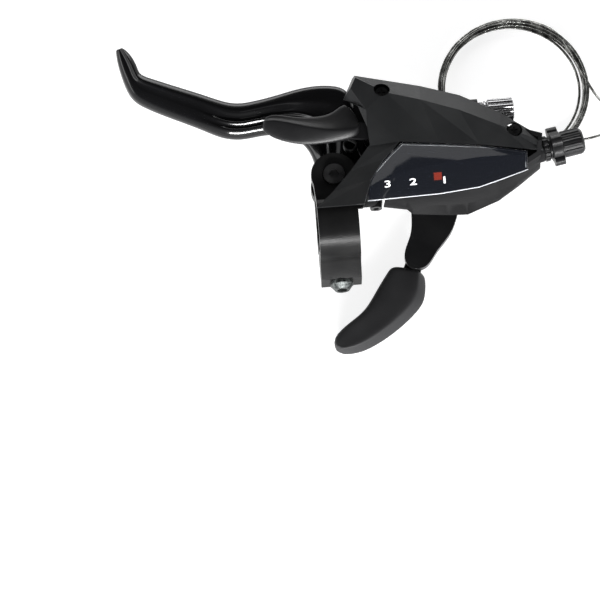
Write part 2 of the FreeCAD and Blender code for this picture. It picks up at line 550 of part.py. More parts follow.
caseBulge = [(21.0, 10.6), (31.0, 8.6), (33.4, 6.3), (48.9, 4.5), (57.0, 4.0), (71.0, 9.2),
             (80.0, 15.0), (90.4, 22.6), (92.0, 32.6), (74.0, 38.4), (66.0, 39.4), (60.5, 48.0),
             (28.0, 49.6), (27.4, 20.0)]
caseSeam = [(22.0, 10.6), (31.0, 10.6), (34.0, 10.4), (48.0, 10.6), (58.0, 11.6), (71.0, 15.3),
            (80.0, 18.0), (90.0, 23.0), (91.4, 31.6), (74.0, 38.0), (66.0, 39.0), (60.5, 46.6),
            (28.0, 48.2), (28.0, 20.6)]


def caseOutline(height, share):
    """The case's outline at a height, part way from bulge to seam, with its rear off the handlebar."""
    room = size("barRadius") + 0.6
    reach = math.sqrt(max(0.0, room ** 2 - height ** 2))
    points = [(x + (p - x) * share, y + (q - y) * share)
              for (x, y), (p, q) in zip(caseBulge, caseSeam)]
    return [(x, max(y, reach)) if y < 15.9 else (x, y) for x, y in points]


def caseLevels(grow):
    """Outlines of the lower case from its floor to its upper rim, moved inwards by grow."""
    lift = grow if grow else 0.0
    under = [(size("caseBottom") + lift, inset(caseBulge, 5.2 + grow * 0.4)),
             (size("caseTurn") + lift * 0.4, inset(caseBulge, 1.2 + grow))]
    sides = [(height, inset(caseOutline(height, share), max(grow, 0.001)))
             for height, share in ((size("caseBulge"), 0.0), (-8.0, 0.0), (-5.0, 0.3), (-1.0, 0.6),
                                   (size("caseSeam"), 1.0))]
    rim = inset(caseOutline(size("caseSeam"), 1.0), max(grow, 0.001))
    return under + sides + [(size("caseTop") + lift, rim)]


def lowerCase(cover):
    outer, inner = stacked(caseLevels(0.0)), stacked(caseLevels(size("wall")))
    spout = Part.makeCone(5.8, 5.2, 8.0, alongWire(-7.5), Vector(*wireWay))
    spoutBore = Part.makeCylinder(size("threadRadius") + 0.05, 14.0, alongWire(-9.0), Vector(*wireWay))
    frontRoom = Part.makeBox(60, 30, 30, Vector(6, 39.3, -3.4))
    hubHole = Part.makeCylinder(6.4, 8, Vector(axle[0], axle[1], size("caseBottom") - 3))
    underLens = Part.makeBox(140, 90, 40, Vector(-60, -60, -size("lensThick") - size("lensGap")))
    dialRoom = Part.makeBox(42, 30, 8, Vector(-24, -21.6, -6.4))
    for room in (underLens, dialRoom):
        room.Placement = lensPlace.multiply(room.Placement)
    shell = outer.cut(inner).fuse(spout).cut(spoutBore).cut(frontRoom).cut(hubHole)
    shell = shell.cut(underLens).cut(dialRoom)
    for x, y in caseScrewPlaces:
        shell = shell.cut(Part.makeCylinder(1.3, 8, Vector(x, y, size("caseBottom") - 2)))
    x, y = coverScrewPlaces[1]
    foot, seat = size("caseTurn") - 1.5, coverScrewSeats[1] - 1.6
    screwPost = Part.makeCylinder(2.8, seat - foot, Vector(x, y, foot))
    screwRoom = Part.makeCylinder(size("coverScrewCup") + 1.1, 20, Vector(x, y, seat))
    screwHole = Part.makeCylinder(1.3, 18, Vector(x, y, seat - 10))
    collarRoom = Part.makeCylinder(5.9, 8, alongWire(0.6), Vector(*wireWay))
    shell = shell.fuse(screwPost).cut(screwRoom).cut(screwHole).cut(collarRoom).cut(cover)
    keep(shaped("case_shell", max(shell.Solids, key=lambda solid: solid.Volume)), "lower_case")
    screws = [fuse("case_screw_%d" % i,
                   cylinder("case_screw_head_%d" % i, 2.3, 1.5, (x, y, "$caseBottom-1.6")),
                   cylinder("case_screw_shank_%d" % i, 1.25, "$basePlateTop-$basePlateThick-$caseBottom",
                            (x, y, "$caseBottom-0.2")))
              for i, (x, y) in enumerate(caseScrewPlaces)]
    keep(fuse("case_screws_all", *screws), "lower_case_screws")


# Corner points of the top cover: its ridge, front edge, window edge, left flank and lower rim.
coverCorners = {
    "ridge0": (12.7, 59.0, 21.0), "ridge1": (25.0, 50.6, 22.0), "ridge2": (39.6, 46.2, 21.5),
    "ridge3": (56.0, 41.0, 19.0), "ridge4": (73.0, 34.6, 13.6), "ridge5": (89.6, 28.8, 7.2),
    "front0": (12.6, 61.3, 17.6), "front2": (40.2, 54.4, 16.9), "front3": (57.0, 49.6, 14.6),
    "front4": (74.0, 41.6, 10.6), "front5": (90.2, 31.6, 5.4),
    "window0": (16.4, 28.6, 16.6), "window1": (29.5, 29.3, 17.2), "window2": (46.6, 27.5, 16.1),
    "window3": (63.6, 26.5, 13.3), "window4": (83.6, 24.6, 8.8), "window5": (91.0, 25.4, 5.2),
    "flank0": (10.2, 54.6, 20.2), "flank1": (16.0, 44.0, 20.6),
    "left0": (11.6, 61.4, 13.8), "left1": (7.0, 52.6, 12.4), "left2": (12.6, 46.6, 19.4),
    "left3": (15.8, 37.0, 18.0),
    "rim0": (12.2, 61.2, 11.0), "rim1": (7.6, 53.0, 11.0), "rim2": (40.2, 54.2, 10.6),
    "rim3": (57.0, 49.4, 10.4), "rim4": (74.0, 41.4, 9.2), "rim5": (91.0, 32.0, 1.8),
    "rim6": (92.2, 25.6, 1.8),
}
coverFaces = [
    ("front0", "ridge0", "ridge1"), ("front0", "ridge1", "ridge2", "front2"),
    ("front2", "ridge2", "ridge3", "front3"), ("front3", "ridge3", "ridge4", "front4"),
    ("front4", "ridge4", "ridge5", "front5"),
    ("ridge0", "flank0", "flank1", "ridge1"), ("flank1", "left3", "window0", "window1", "ridge1"),
    ("ridge1", "window1", "window2", "ridge2"), ("ridge2", "window2", "window3", "ridge3"),
    ("ridge3", "window3", "window4", "ridge4"), ("ridge4", "window4", "window5", "ridge5"),
    ("ridge5", "window5", "rim6", "rim5", "front5"),
    ("left0", "left1", "flank0"), ("left0", "flank0", "ridge0"), ("left0", "ridge0", "front0"),
    ("left1", "left2", "flank1", "flank0"), ("left2", "left3", "flank1"),
    ("rim0", "rim1", "left1", "left0"),
    ("rim0", "left0", "front0"), ("rim0", "front0", "front2", "rim2"),
    ("rim2", "front2", "front3", "rim3"), ("rim3", "front3", "front4", "rim4"),
    ("rim4", "front4", "front5", "rim5"),
]
coverUnder = [
    ("rim1", "rim0", "rim2"), ("rim1", "rim2", "left2", "left1"), ("left2", "rim2", "left3"),
    ("left3", "rim2", "window0"), ("window0", "rim2", "window1"), ("window1", "rim2", "rim3", "window2"),
    ("window2", "rim3", "window3"), ("window3", "rim3", "rim4"), ("window3", "rim4", "window4"),
    ("window4", "rim4", "rim5", "rim6", "window5"),
]


# The leg that the cover sends down over the bracket's neck to the clamp: its top and underside.
legTop = [(-8.7, 2.6, 16.4), (11.5, 2.6, 16.2), (15.4, 13.8, 15.4), (21.5, 22.4, 15.6),
          (29.4, 29.8, 16.8), (16.6, 29.8, 16.3), (7.0, 18.4, 15.4), (-1.2, 9.6, 15.6)]
legUnder = 13.1
coverScrews = []


def coverLeg():
    corners = {"top%d" % i: Vector(*corner) for i, corner in enumerate(legTop)}
    corners.update({"low%d" % i: Vector(x, y, legUnder) for i, (x, y, z) in enumerate(legTop)})
    quads = [(0, 1, 2, 7), (7, 2, 3, 6), (6, 3, 4, 5)]
    faces = [tuple("top%d" % i for i in quad) for quad in quads]
    faces += [tuple("low%d" % i for i in reversed(quad)) for quad in quads]
    for i in range(len(legTop)):
        after = (i + 1) % len(legTop)
        faces.append(("low%d" % i, "low%d" % after, "top%d" % after, "top%d" % i))
    ringRoom = Part.makeCylinder(size("clampRadius") + 0.2, 60, Vector(-30, 0, 0), Vector(1, 0, 0))
    return closedSolid(corners, faces).cut(ringRoom)


def topCover():
    """The faceted upper shell: its outer form less the same form sunk by the wall."""
    outer = {name: Vector(*corner) for name, corner in coverCorners.items()}
    sunk = {}
    spine = Vector(46, 40, 0)
    for name, corner in outer.items():
        inward = Vector(spine.x - corner.x, spine.y - corner.y, 0)
        inward = inward.normalize() * size("wall") * 1.2
        drop = 2.2 if name[:3] in ("rim", "lef") or name[:6] == "window" else size("wall")
        sunk[name] = corner + inward - Vector(0, 0, drop)
    outerSolid, innerSolid = (closedSolid(corners, coverFaces + coverUnder) for corners in (outer, sunk))
    shell = outerSolid.cut(innerSolid).fuse(coverLeg()).cut(windowBlock(-3.0, 3.0, 0.2))
    cup = size("coverScrewCup")
    for i, (x, y) in enumerate(coverScrewPlaces):
        seat = coverScrewSeats[i]
        shell = shell.fuse(Part.makeCylinder(cup + 1, 20, Vector(x, y, seat - 1.4)).common(outerSolid))
        shell = shell.cut(Part.makeCylinder(cup, 20, Vector(x, y, seat)))
        shell = shell.cut(Part.makeCylinder(1.6, 20, Vector(x, y, seat - 5)))
        head = cylinder("cover_screw_head_%d" % i, "$coverScrewHead", 1.5, (x, y, seat + 0.02))
        shank = cylinder("cover_screw_shank_%d" % i, 1.25, 7.0, (x, y, seat - 6.9))
        cross = fuse("cover_screw_cross_%d" % i,
                     box("cross_a_%d" % i, (3.2, 0.7, 1), (x - 1.6, y - 0.35, seat + 0.7)),
                     box("cross_b_%d" % i, (0.7, 3.2, 1), (x - 0.35, y - 1.6, seat + 0.7)))
        solid = fuse("cover_screw_solid_%d" % i, head, shank)
        coverScrews.append(cut("cover_screw_%d" % i, solid, cross))
    keep(fuse("cover_screws_both", *coverScrews), "cover_screws")
    return keep(shaped("cover_shell", max(shell.Solids, key=lambda solid: solid.Volume)), "top_cover")


def window():
    lens = Part.Face(wireAt(lensOutline, -size("lensThick"))).extrude(Vector(0, 0, size("lensThick")))
    bar = Part.makeCylinder(size("barRadius") + 0.3, 120, Vector(9, 0, 0), Vector(1, 0, 0))
    bar.Placement = lensPlace.inverse().multiply(bar.Placement)
    keep(shaped("lens_plate", lens.cut(bar), lensPlace), "window_lens")
    dialOutline = [(-2.6, -5.4), (-9.8, -13.0), (-11.8, -20.4), (15.5, -20.4), (32.0, -18.6),
                   (50.0, -14.0), (50.0, -9.6)]
    along, back = size("indicatorAlong"), size("indicatorPlace")
    dial = Part.Face(wireAt(dialOutline, -4.4)).extrude(Vector(0, 0, 1.0))
    slot = Part.makeBox(28.6, 1.6, 4, Vector(along - 26.6, back - 0.8, -6))
    keep(shaped("dial_sheet", dial.cut(slot), lensPlace), "dial_plate")
    flag = Part.makeBox(3.4, 3.2, 0.6, Vector(along - 1.7, back - 1.6, -3.0))
    keep(shaped("flag_tile", flag, lensPlace), "indicator_flag")
    slider = Part.makeBox(3.6, 3.0, 0.9, Vector(along - 1.8, back - 1.5, -5.6))
    stem = Part.makeBox(1.2, 1.2, 1.8, Vector(along - 0.6, back - 0.6, -4.8))
    keep(shaped("slider_block", slider.fuse(stem), lensPlace), "indicator_slider")


# ---------------------------------------------------------------- springs and small screws

def springs():
    coilSpring("lever_return_spring", (8.2, 32.0, 8.9), 2.7, 0.9, 1.05, 3,
               [((10.9, 32.0, 8.9), (12.6, 27.4, 8.9)), ((10.9, 32.0, 12.05), (4.6, 36.2, 12.05))])
    coilSpring("trigger_return_spring", (*triggerPivot, -0.6), 4.4, 0.8, 0.95, 5,
               [((23.4, 36.0, 4.15), (27.0, 35.0, 8.6))])
    coilSpring("spool_return_spring", (*axle, 0.4), 6.4, 1.0, 1.7, 3, [])
    coilSpring("thumb_return_spring", (*axle, -20.7), 7.4, 0.9, 1.3, 2, [])
    coilSpring("pawl_spring", (*pawlPinPlace, -5.6), 2.1, 0.4, 0.5, 3,
               [((35.1, 40.5, -5.6), (38.4, 42.6, -5.6))])


def unitFixingScrew():
    at = (size("fixingAlong"), size("fixingHeight"))
    head = cylinder("fixing_screw_head", 2.6, 2.6, (at[0], "$fixingPlace", at[1]), (0, 1, 0))
    shank = cylinder("fixing_screw_shank", 1.5, 9.0, (at[0], "$fixingPlace+2.5", at[1]), (0, 1, 0))
    socket = padded("fixing_screw_socket", regular(6, 1.4, at), 1.6, "$fixingPlace+1.5",
                    role="XZ_Plane")
    keep(cut("fixing_screw_cut", fuse("fixing_screw_solid", head, shank), socket),
         "unit_fixing_screw")


# ---------------------------------------------------------------- cable adjusters

def flutedBarrel(radius, length, flutes, depth, start, along):
    """A knurled grip: a cylinder with round flutes cut along it and bevelled ends."""
    grip = Part.makeCylinder(radius, length, start, along)
    way = Vector(*along) if isinstance(along, tuple) else along
    side = way.cross(Vector(0, 0, 1)).normalize()
    for i in range(flutes):
        offset = Rotation(way, 360.0 * i / flutes).multVec(side) * (radius + depth * 0.6)
        grip = grip.cut(Part.makeCylinder(depth, length + 2, start + offset - way, way))
    return grip


def threaded(radius, begin, finish, along):
    """A plain rod at the thread's outer radius between two points of the adjuster's axis."""
    return Part.makeCylinder(radius, (finish - begin).Length, begin, along)


def adjuster(name, at, along, parts, lengths, housing, wing=0.0):
    """The barrel of a cable adjuster: thread, grip, housing socket and wire passage."""
    threadFrom, gripFrom, gripTo = (at + along * d for d in lengths)
    solid = threaded(size("threadRadius") - 0.05, threadFrom, gripTo, along)
    gripLength = (gripTo - gripFrom).Length
    solid = solid.fuse(flutedBarrel(parts["radius"], gripLength, parts["flutes"], parts["depth"],
                                    gripFrom, along))
    if wing:
        for i in range(4):
            out = Rotation(along, 90.0 * i + 12.0).multVec(Vector(0, 0, 1).cross(along).normalize())
            lobe = Part.makeCylinder(2.6, 4.6, gripFrom + out * (wing - 2.6), along)
            solid = solid.fuse(lobe)
        solid = solid.fuse(Part.makeCylinder(parts["radius"] + 0.5, 4.6, gripFrom, along))
    socket = Part.makeCylinder(housing, size("socketDepth"), gripTo - along * size("socketDepth"), along)
    passage = Part.makeCylinder(1.0, 60, threadFrom - along * 5, along)
    return keep(shaped(name + "_body", solid.cut(socket).cut(passage)), name)


def ring(name, at, along, outer, inner, thick, flutes=0):
    solid = Part.makeCylinder(outer, thick, at, along)
    if flutes:
        solid = flutedBarrel(outer, thick, flutes, 0.45, at, along)
    return keep(shaped(name + "_body", solid.cut(Part.makeCylinder(inner, thick + 2, at - along, along))),
                name)


def cableAdjusters():
    right = Vector(1, 0, 0)
    brakeAxis = Vector(0, size("cableLine"), size("cableHeight"))
    free = size("threadRadius") + 0.15
    ring("brake_adjuster_lock_ring", brakeAxis + right * (size("bossEnd") + 0.1), right, 4.3, free, 2.4, 14)
    ring("brake_adjuster_washer", brakeAxis + right * (size("bossEnd") + 2.7), right, 4.6, free, 0.6)
    adjuster("brake_adjuster_barrel", brakeAxis, right,
             {"radius": size("brakeAdjusterRadius"), "flutes": 12, "depth": 0.6},
             (59.0, size("brakeAdjusterStart"), size("brakeAdjusterEnd")), size("brakeHousing"))
    way = Vector(*wireWay)
    ring("shift_adjuster_collar", alongWire(0.7), way, 5.6, free, 2.5, 16)
    ring("shift_adjuster_washer", alongWire(3.4), way, 4.8, free, 0.6)
    adjuster("shift_adjuster_barrel", alongWire(0.0), way,
             {"radius": size("shiftAdjusterRadius"), "flutes": 12, "depth": 0.7},
             (-6.0, 4.2, size("shiftAdjusterLength")), size("shiftHousing"), size("wingRadius"))


# ---------------------------------------------------------------- gear wire

# The free wire leaves the adjuster, turns down and joins the coil, which lies flat below.
leadRoute = [(109.4, 30.95, -2.0), (117.6, 32.4, -2.8), (124.4, 37.6, -9.0), (126.0, 47.0, -18.0),
             (122.6, 56.6, -25.4), (118.4, 64.6, -28.6)]


def roundedTube(route, radius):
    """A tube along straight runs joined by tangent arcs, each as large as its runs allow."""
    points = [Vector(*p) for p in route]
    edges, begin, radii = [], points[0], []
    for before, here, after in zip(points, points[1:], points[2:]):
        back, on = (before - here), (after - here)
        shorter = min(back.Length, on.Length)
        half = (math.pi - back.getAngle(on)) / 2
        reach = 0.45 * shorter
        radii.append(reach / math.tan(half))
        back.normalize()
        on.normalize()
        enter, leave = here + back * reach, here + on * reach
        middle = (back + on).normalize()
        bulge = here + middle * (radii[-1] / math.cos(half) - radii[-1])
        edges += [Part.LineSegment(begin, enter).toShape(), Part.Arc(enter, bulge, leave).toShape()]
        begin = leave
    edges.append(Part.LineSegment(begin, points[-1]).toShape())
    path = Part.Wire(edges)
    section = Part.Wire(Part.makeCircle(radius, points[0], points[1] - points[0]))
    tube = path.makePipeShell([section], True, True)
    print("wire lead: length %.1f, radii %s, volume %.2f of %.2f"
          % (path.Length, [round(r, 1) for r in radii], tube.Volume, math.pi * radius ** 2 * path.Length))
    return tube


def gearWire():
    radius = size("wireRadius")
    begin = alongWire(tangentDistance - 1.2)
    inner = Part.makeCylinder(radius, (Vector(*leadRoute[0]) - begin).Length, begin, Vector(*wireWay))
    keep(shaped("wire_straight", inner), "shift_wire_inner")
    keep(shaped("wire_tube", roundedTube(leadRoute, radius)), "shift_wire_lead")
    keep(cut("coil_ring",
             cylinder("coil_outside", "$coilOuter", "$coilDepth", ("$coilAlong", "$coilPlace", "$coilUnder")),
             cylinder("coil_inside", "$coilInner", "$coilDepth+2",
                      ("$coilAlong", "$coilPlace", "$coilUnder-1"))), "shift_wire_coil")


# ---------------------------------------------------------------- assemble

leverBracket()
clampFasteners()
brakeLever()
leverPivot()
releaseTrigger()
shiftAxle()
unitPlates()
wireSpool()
pawls()
thumbLever()
lowerCase(topCover().Shape)
window()
springs()
unitFixingScrew()
cableAdjusters()
gearWire()

doc.recompute()
failed = [o.Label for o in doc.Objects if {"Invalid", "Error"} & set(o.State)]
for part in subParts:
    shape = part.Shape
    if shape.isNull() or not shape.isValid() or not shape.Solids:
        failed.append(part.Label)
if failed:
    raise RuntimeError("these did not build: %s" % ", ".join(failed))
for part in subParts:
    shape = part.Shape
    print("%-24s solids %d volume %9.1f" % (part.Label, len(shape.Solids), shape.Volume))
    shape.exportStep("parts/%s.step" % part.Label)
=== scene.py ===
import math

import bmesh
import bpy
from mathutils import Matrix, Vector


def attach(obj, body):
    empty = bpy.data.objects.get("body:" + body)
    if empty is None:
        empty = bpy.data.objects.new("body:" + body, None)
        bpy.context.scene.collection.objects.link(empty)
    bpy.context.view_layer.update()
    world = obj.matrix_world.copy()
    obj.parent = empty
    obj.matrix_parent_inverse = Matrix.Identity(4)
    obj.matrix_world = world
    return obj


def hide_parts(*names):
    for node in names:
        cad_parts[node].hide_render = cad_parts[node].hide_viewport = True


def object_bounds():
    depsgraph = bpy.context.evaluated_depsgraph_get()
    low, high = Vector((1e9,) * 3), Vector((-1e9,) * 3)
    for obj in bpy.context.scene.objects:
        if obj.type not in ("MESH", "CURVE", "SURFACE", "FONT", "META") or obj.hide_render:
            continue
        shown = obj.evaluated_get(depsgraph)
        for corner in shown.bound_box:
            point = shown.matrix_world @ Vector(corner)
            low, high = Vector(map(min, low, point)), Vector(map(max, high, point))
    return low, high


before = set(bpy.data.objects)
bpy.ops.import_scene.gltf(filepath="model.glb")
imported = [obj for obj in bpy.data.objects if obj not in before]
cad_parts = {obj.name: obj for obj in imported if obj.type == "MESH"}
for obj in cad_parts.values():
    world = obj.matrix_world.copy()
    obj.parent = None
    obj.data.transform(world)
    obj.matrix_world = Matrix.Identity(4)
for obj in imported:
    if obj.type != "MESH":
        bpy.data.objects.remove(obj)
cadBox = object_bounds()
print("frame loaded:", len(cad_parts), "nodes")

mm = 0.001   # part sizes below are in millimetres, except the wire's and the studio's, in metres

# The handlebar clamp's bore is the origin: X along the bar, Y forward, Z up.


# camera, light and floor

camera = {"azimuth": -5.0, "elevation": 70.0, "distance": 2.0, "width": 0.258, "sensor": 36.0,
          "reach": 20.0, "aim": (-0.0188, -0.0288, -0.0110)}
studio = {
    "wallColour": (0.97, 0.98, 1.0), "horizon": 1.25, "ceiling": 0.06, "fade": (0.2, 0.62),
    "floorSize": 6.0, "floorGap": 0.0002, "floorColour": 0.5, "floorRough": 0.9, "floorGlow": 0.78,
    # each lamp's place, width, power, and height as a share of its width; all face the origin
    "lamps": {"frontLight": ((0.1, 1.2, 0.42), 1.2, 7.0, 0.3),
              "rearLight": ((0.0, -1.25, 0.34), 0.9, 42.0, 0.12),
              "leftLight": ((-1.2, 0.1, 0.4), 0.9, 3.0, 0.3),
              "gleamLight": ((0.2, -0.6, 1.02), 0.5, 0.3, 0.5)},
}


def placeCamera():
    turn, lift = math.radians(camera["azimuth"]), math.radians(camera["elevation"])
    back = Vector((math.sin(turn) * math.cos(lift), -math.cos(turn) * math.cos(lift),
                   math.sin(lift)))
    data = bpy.data.cameras.new("camera")
    data.sensor_width = camera["sensor"]
    data.lens = data.sensor_width * camera["distance"] / camera["width"]
    data.clip_end = camera["reach"]
    eye = bpy.data.objects.new("camera", data)
    eye.location = Vector(camera["aim"]) + back * camera["distance"]
    eye.rotation_euler = back.to_track_quat("Z", "Y").to_euler()
    bpy.context.scene.collection.objects.link(eye)
    bpy.context.scene.camera = eye


def areaLight(name, at, size, power, stretch):
    data = bpy.data.lights.new(name, "AREA")
    data.shape, data.size, data.size_y = "RECTANGLE", size, size * stretch
    data.energy = power
    lamp = bpy.data.objects.new(name, data)
    lamp.location = at
    lamp.rotation_euler = Vector(at).to_track_quat("Z", "Y").to_euler()
    bpy.context.scene.collection.objects.link(lamp)


def studioRoom():
    world = bpy.data.worlds.new("studio")
    bpy.context.scene.world = world
    world.use_nodes = True
    background = world.node_tree.nodes["Background"]
    background.inputs["Color"].default_value = (*studio["wallColour"], 1)
    # bright walls round a dark ceiling, so that slopes shine and level tops stay black
    link = world.node_tree.links.new
    place, split, fade = (world.node_tree.nodes.new(kind) for kind in (
        "ShaderNodeTexCoord", "ShaderNodeSeparateXYZ", "ShaderNodeMapRange"))
    fade.interpolation_type = "SMOOTHSTEP"
    fade.inputs["From Min"].default_value, fade.inputs["From Max"].default_value = studio["fade"]
    fade.inputs["To Min"].default_value = studio["horizon"]
    fade.inputs["To Max"].default_value = studio["ceiling"]
    link(place.outputs["Generated"], split.inputs["Vector"])
    link(split.outputs["Z"], fade.inputs["Value"])
    link(fade.outputs["Result"], background.inputs["Strength"])
    for name, lamp in studio["lamps"].items():
        areaLight(name, *lamp)
    low = cadBox[0][2] - studio["floorGap"]
    bpy.ops.mesh.primitive_plane_add(size=studio["floorSize"], location=(0, 0, low))
    floor = bpy.context.object
    floor.name = "studioFloor"
    paint = bpy.data.materials.new("floorPaper")
    paint.use_nodes = True
    shader = paint.node_tree.nodes["Principled BSDF"]
    shader.inputs["Base Color"].default_value = (*[studio["floorColour"]] * 3, 1)
    shader.inputs["Roughness"].default_value = studio["floorRough"]
    shader.inputs["Emission Color"].default_value = (1, 1, 1, 1)
    shader.inputs["Emission Strength"].default_value = studio["floorGlow"]
    floor.data.materials.append(paint)


placeCamera()
studioRoom()
bpy.context.scene.view_settings.view_transform = "Standard"
print("camera and light placed")


# shader groups shared by the materials

def grouped(name, inputs, outputs):
    tree = bpy.data.node_groups.new(name, "ShaderNodeTree")
    for label, kind, value in inputs:
        socket = tree.interface.new_socket(label, in_out="INPUT", socket_type=kind)
        if value is not None:
            socket.default_value = value
    for label, kind in outputs:
        tree.interface.new_socket(label, in_out="OUTPUT", socket_type=kind)
    return tree, tree.nodes.new("NodeGroupInput"), tree.nodes.new("NodeGroupOutput")


# fine cast or moulded grain, and slow clouds of wear; on the gear wire the clouds are painted glints
def moulding():
    tree, given, made = grouped("mouldedGrain", [
        ("Vector", "NodeSocketVector", None), ("Grain Size", "NodeSocketFloat", 900.0),
        ("Cloud Size", "NodeSocketFloat", 40.0), ("Cloud Contrast", "NodeSocketFloat", 1.0)],
        [("Height", "NodeSocketFloat"), ("Cloud", "NodeSocketFloat")])
    grain, cloud, ramp = (tree.nodes.new(kind) for kind in (
        "ShaderNodeTexNoise", "ShaderNodeTexNoise", "ShaderNodeMapRange"))
    grain.inputs["Detail"].default_value = 3.0
    cloud.inputs["Detail"].default_value = 2.0
    ramp.inputs["From Min"].default_value, ramp.inputs["From Max"].default_value = 0.3, 0.7
    link = tree.links.new
    link(given.outputs["Vector"], grain.inputs["Vector"])
    link(given.outputs["Grain Size"], grain.inputs["Scale"])
    link(given.outputs["Vector"], cloud.inputs["Vector"])
    link(given.outputs["Cloud Size"], cloud.inputs["Scale"])
    link(cloud.outputs["Fac"], ramp.inputs["Value"])
    link(given.outputs["Cloud Contrast"], ramp.inputs["To Max"])
    link(grain.outputs["Fac"], made.inputs["Height"])
    link(ramp.outputs["Result"], made.inputs["Cloud"])
    return tree


grainGroup = moulding()

# rough and colour change from their first value to rough's second and the tint where clouds lie;
# grain and cloud are noise sizes, and depth is the grain's in metres
plainFinish = dict(shine=0.5, metal=0.0, coat=0.0, coatRough=0.04, glow=(0.0, 0.0, 0.0),
                   glowPower=0.0)
lensFinish = {"colour": (0.006, 0.007, 0.010), "rough": 0.04, "alpha": 0.82, "shine": 0.9}
finishes = {
    "leverPaint": dict(shine=0.22, colour=(0.003, 0.003, 0.0032), rough=(0.12, 0.18), coat=0.15,
                       grain=260, depth=0.00002, cloud=30, tint=(0.005, 0.005, 0.0055)),
    "bracketPaint": dict(shine=0.1, colour=(0.004, 0.004, 0.0042), rough=(0.27, 0.36), grain=1500,
                         depth=0.00006, cloud=60, tint=(0.010, 0.010, 0.010)),
    "coverPlastic": dict(shine=0.35, colour=(0.009, 0.0095, 0.010), rough=(0.40, 0.48), grain=2600,
                         depth=0.00005, cloud=50, tint=(0.012, 0.0125, 0.013)),
    "casePlastic": dict(shine=0.06, colour=(0.008, 0.008, 0.0085), rough=(0.5, 0.6), grain=2600,
                        depth=0.00005, cloud=50, tint=(0.012, 0.012, 0.0125)),
    "triggerPlastic": dict(shine=0.25, colour=(0.006, 0.006, 0.0065), rough=(0.34, 0.42),
                           grain=2200, depth=0.00004, cloud=70, tint=(0.009, 0.009, 0.0095)),
    "padRubber": dict(shine=0.35, colour=(0.012, 0.012, 0.013), rough=(0.52, 0.62), grain=1700,
                      depth=0.00005, cloud=60, tint=(0.017, 0.017, 0.018)),
    "armPaint": dict(shine=0.4, colour=(0.006, 0.006, 0.0065), rough=(0.28, 0.36), grain=1200,
                     depth=0.00004, cloud=80, tint=(0.009, 0.009, 0.0095)),
    "adjusterPlastic": dict(shine=0.3, colour=(0.006, 0.006, 0.0065), rough=(0.30, 0.40),
                            grain=1800, depth=0.00003, cloud=120, tint=(0.009, 0.009, 0.0095)),
    "silverAlloy": dict(colour=(0.26, 0.26, 0.265), rough=(0.2, 0.3), metal=1.0, grain=900,
                        depth=0.00001, cloud=200, tint=(0.34, 0.34, 0.345)),
    "zincPlate": dict(colour=(0.42, 0.43, 0.42), rough=(0.28, 0.5), metal=1.0, grain=700,
                      depth=0.00006, cloud=300, tint=(0.62, 0.62, 0.6)),
    "darkSteel": dict(colour=(0.05, 0.05, 0.052), rough=(0.25, 0.36), metal=0.9, grain=900,
                      depth=0.00003, cloud=200, tint=(0.09, 0.09, 0.09)),
    "plateSteel": dict(colour=(0.42, 0.42, 0.43), rough=(0.3, 0.42), metal=1.0, grain=500,
                       depth=0.00003, cloud=150, tint=(0.5, 0.5, 0.5)),
    # wire: a dark base colour as painted shade between the strands, and lighter clouds as painted
    # glints
    "wireSteelShadeAndGlints": dict(colour=(0.10, 0.10, 0.095), rough=(0.16, 0.3), metal=1.0, grain=2400,
                      depth=0.00012, cloud=300, tint=(0.42, 0.42, 0.40)),
    "springSteel": dict(colour=(0.05, 0.05, 0.05), rough=(0.3, 0.4), metal=1.0, grain=900,
                        depth=0.00002, cloud=200, tint=(0.09, 0.09, 0.09)),
    "boltZinc": dict(colour=(0.05, 0.055, 0.055), rough=(0.35, 0.5), metal=1.0, grain=900,
                     depth=0.00010, cloud=900, tint=(0.2, 0.215, 0.21)),
    # window border tubes: light grey as a painted highlight along the bottom, dark grey as a dimmer
    # painted highlight along the top
    "lensEdgePaintedHighlight": dict(colour=(0.62, 0.64, 0.68), rough=(0.25, 0.3), grain=900, depth=0.00001,
                     cloud=120, tint=(0.75, 0.76, 0.8)),
    "lensRimPaintedHighlight": dict(colour=(0.08, 0.085, 0.09), rough=(0.25, 0.3), grain=900, depth=0.00001,
                    cloud=300, tint=(0.2, 0.21, 0.22)),
    "bushMetal": dict(colour=(0.5, 0.36, 0.15), rough=(0.3, 0.4), metal=1.0, grain=900,
                      depth=0.00002, cloud=200, tint=(0.6, 0.45, 0.2)),
    "dialPlastic": dict(colour=(0.004, 0.004, 0.005), rough=(0.5, 0.6), grain=1500, depth=0.00002,
                        cloud=60, tint=(0.006, 0.006, 0.007)),
    "spoolPlastic": dict(colour=(0.03, 0.03, 0.032), rough=(0.45, 0.55), grain=1500,
                         depth=0.00003, cloud=90, tint=(0.045, 0.045, 0.047)),
    "digitPaint": dict(colour=(0.85, 0.86, 0.88), rough=(0.4, 0.5), grain=1500, depth=0.00001,
                       cloud=200, tint=(0.9, 0.9, 0.92)),
    # indicator flag: red with a painted glow, giving off light though it is no lamp
    "indicatorRedPaintedGlow": dict(colour=(0.85, 0.06, 0.02), rough=(0.4, 0.5), grain=1500, depth=0.00001,
                         cloud=200, tint=(0.9, 0.08, 0.03), glow=(1.0, 0.10, 0.03), glowPower=9.0),
}


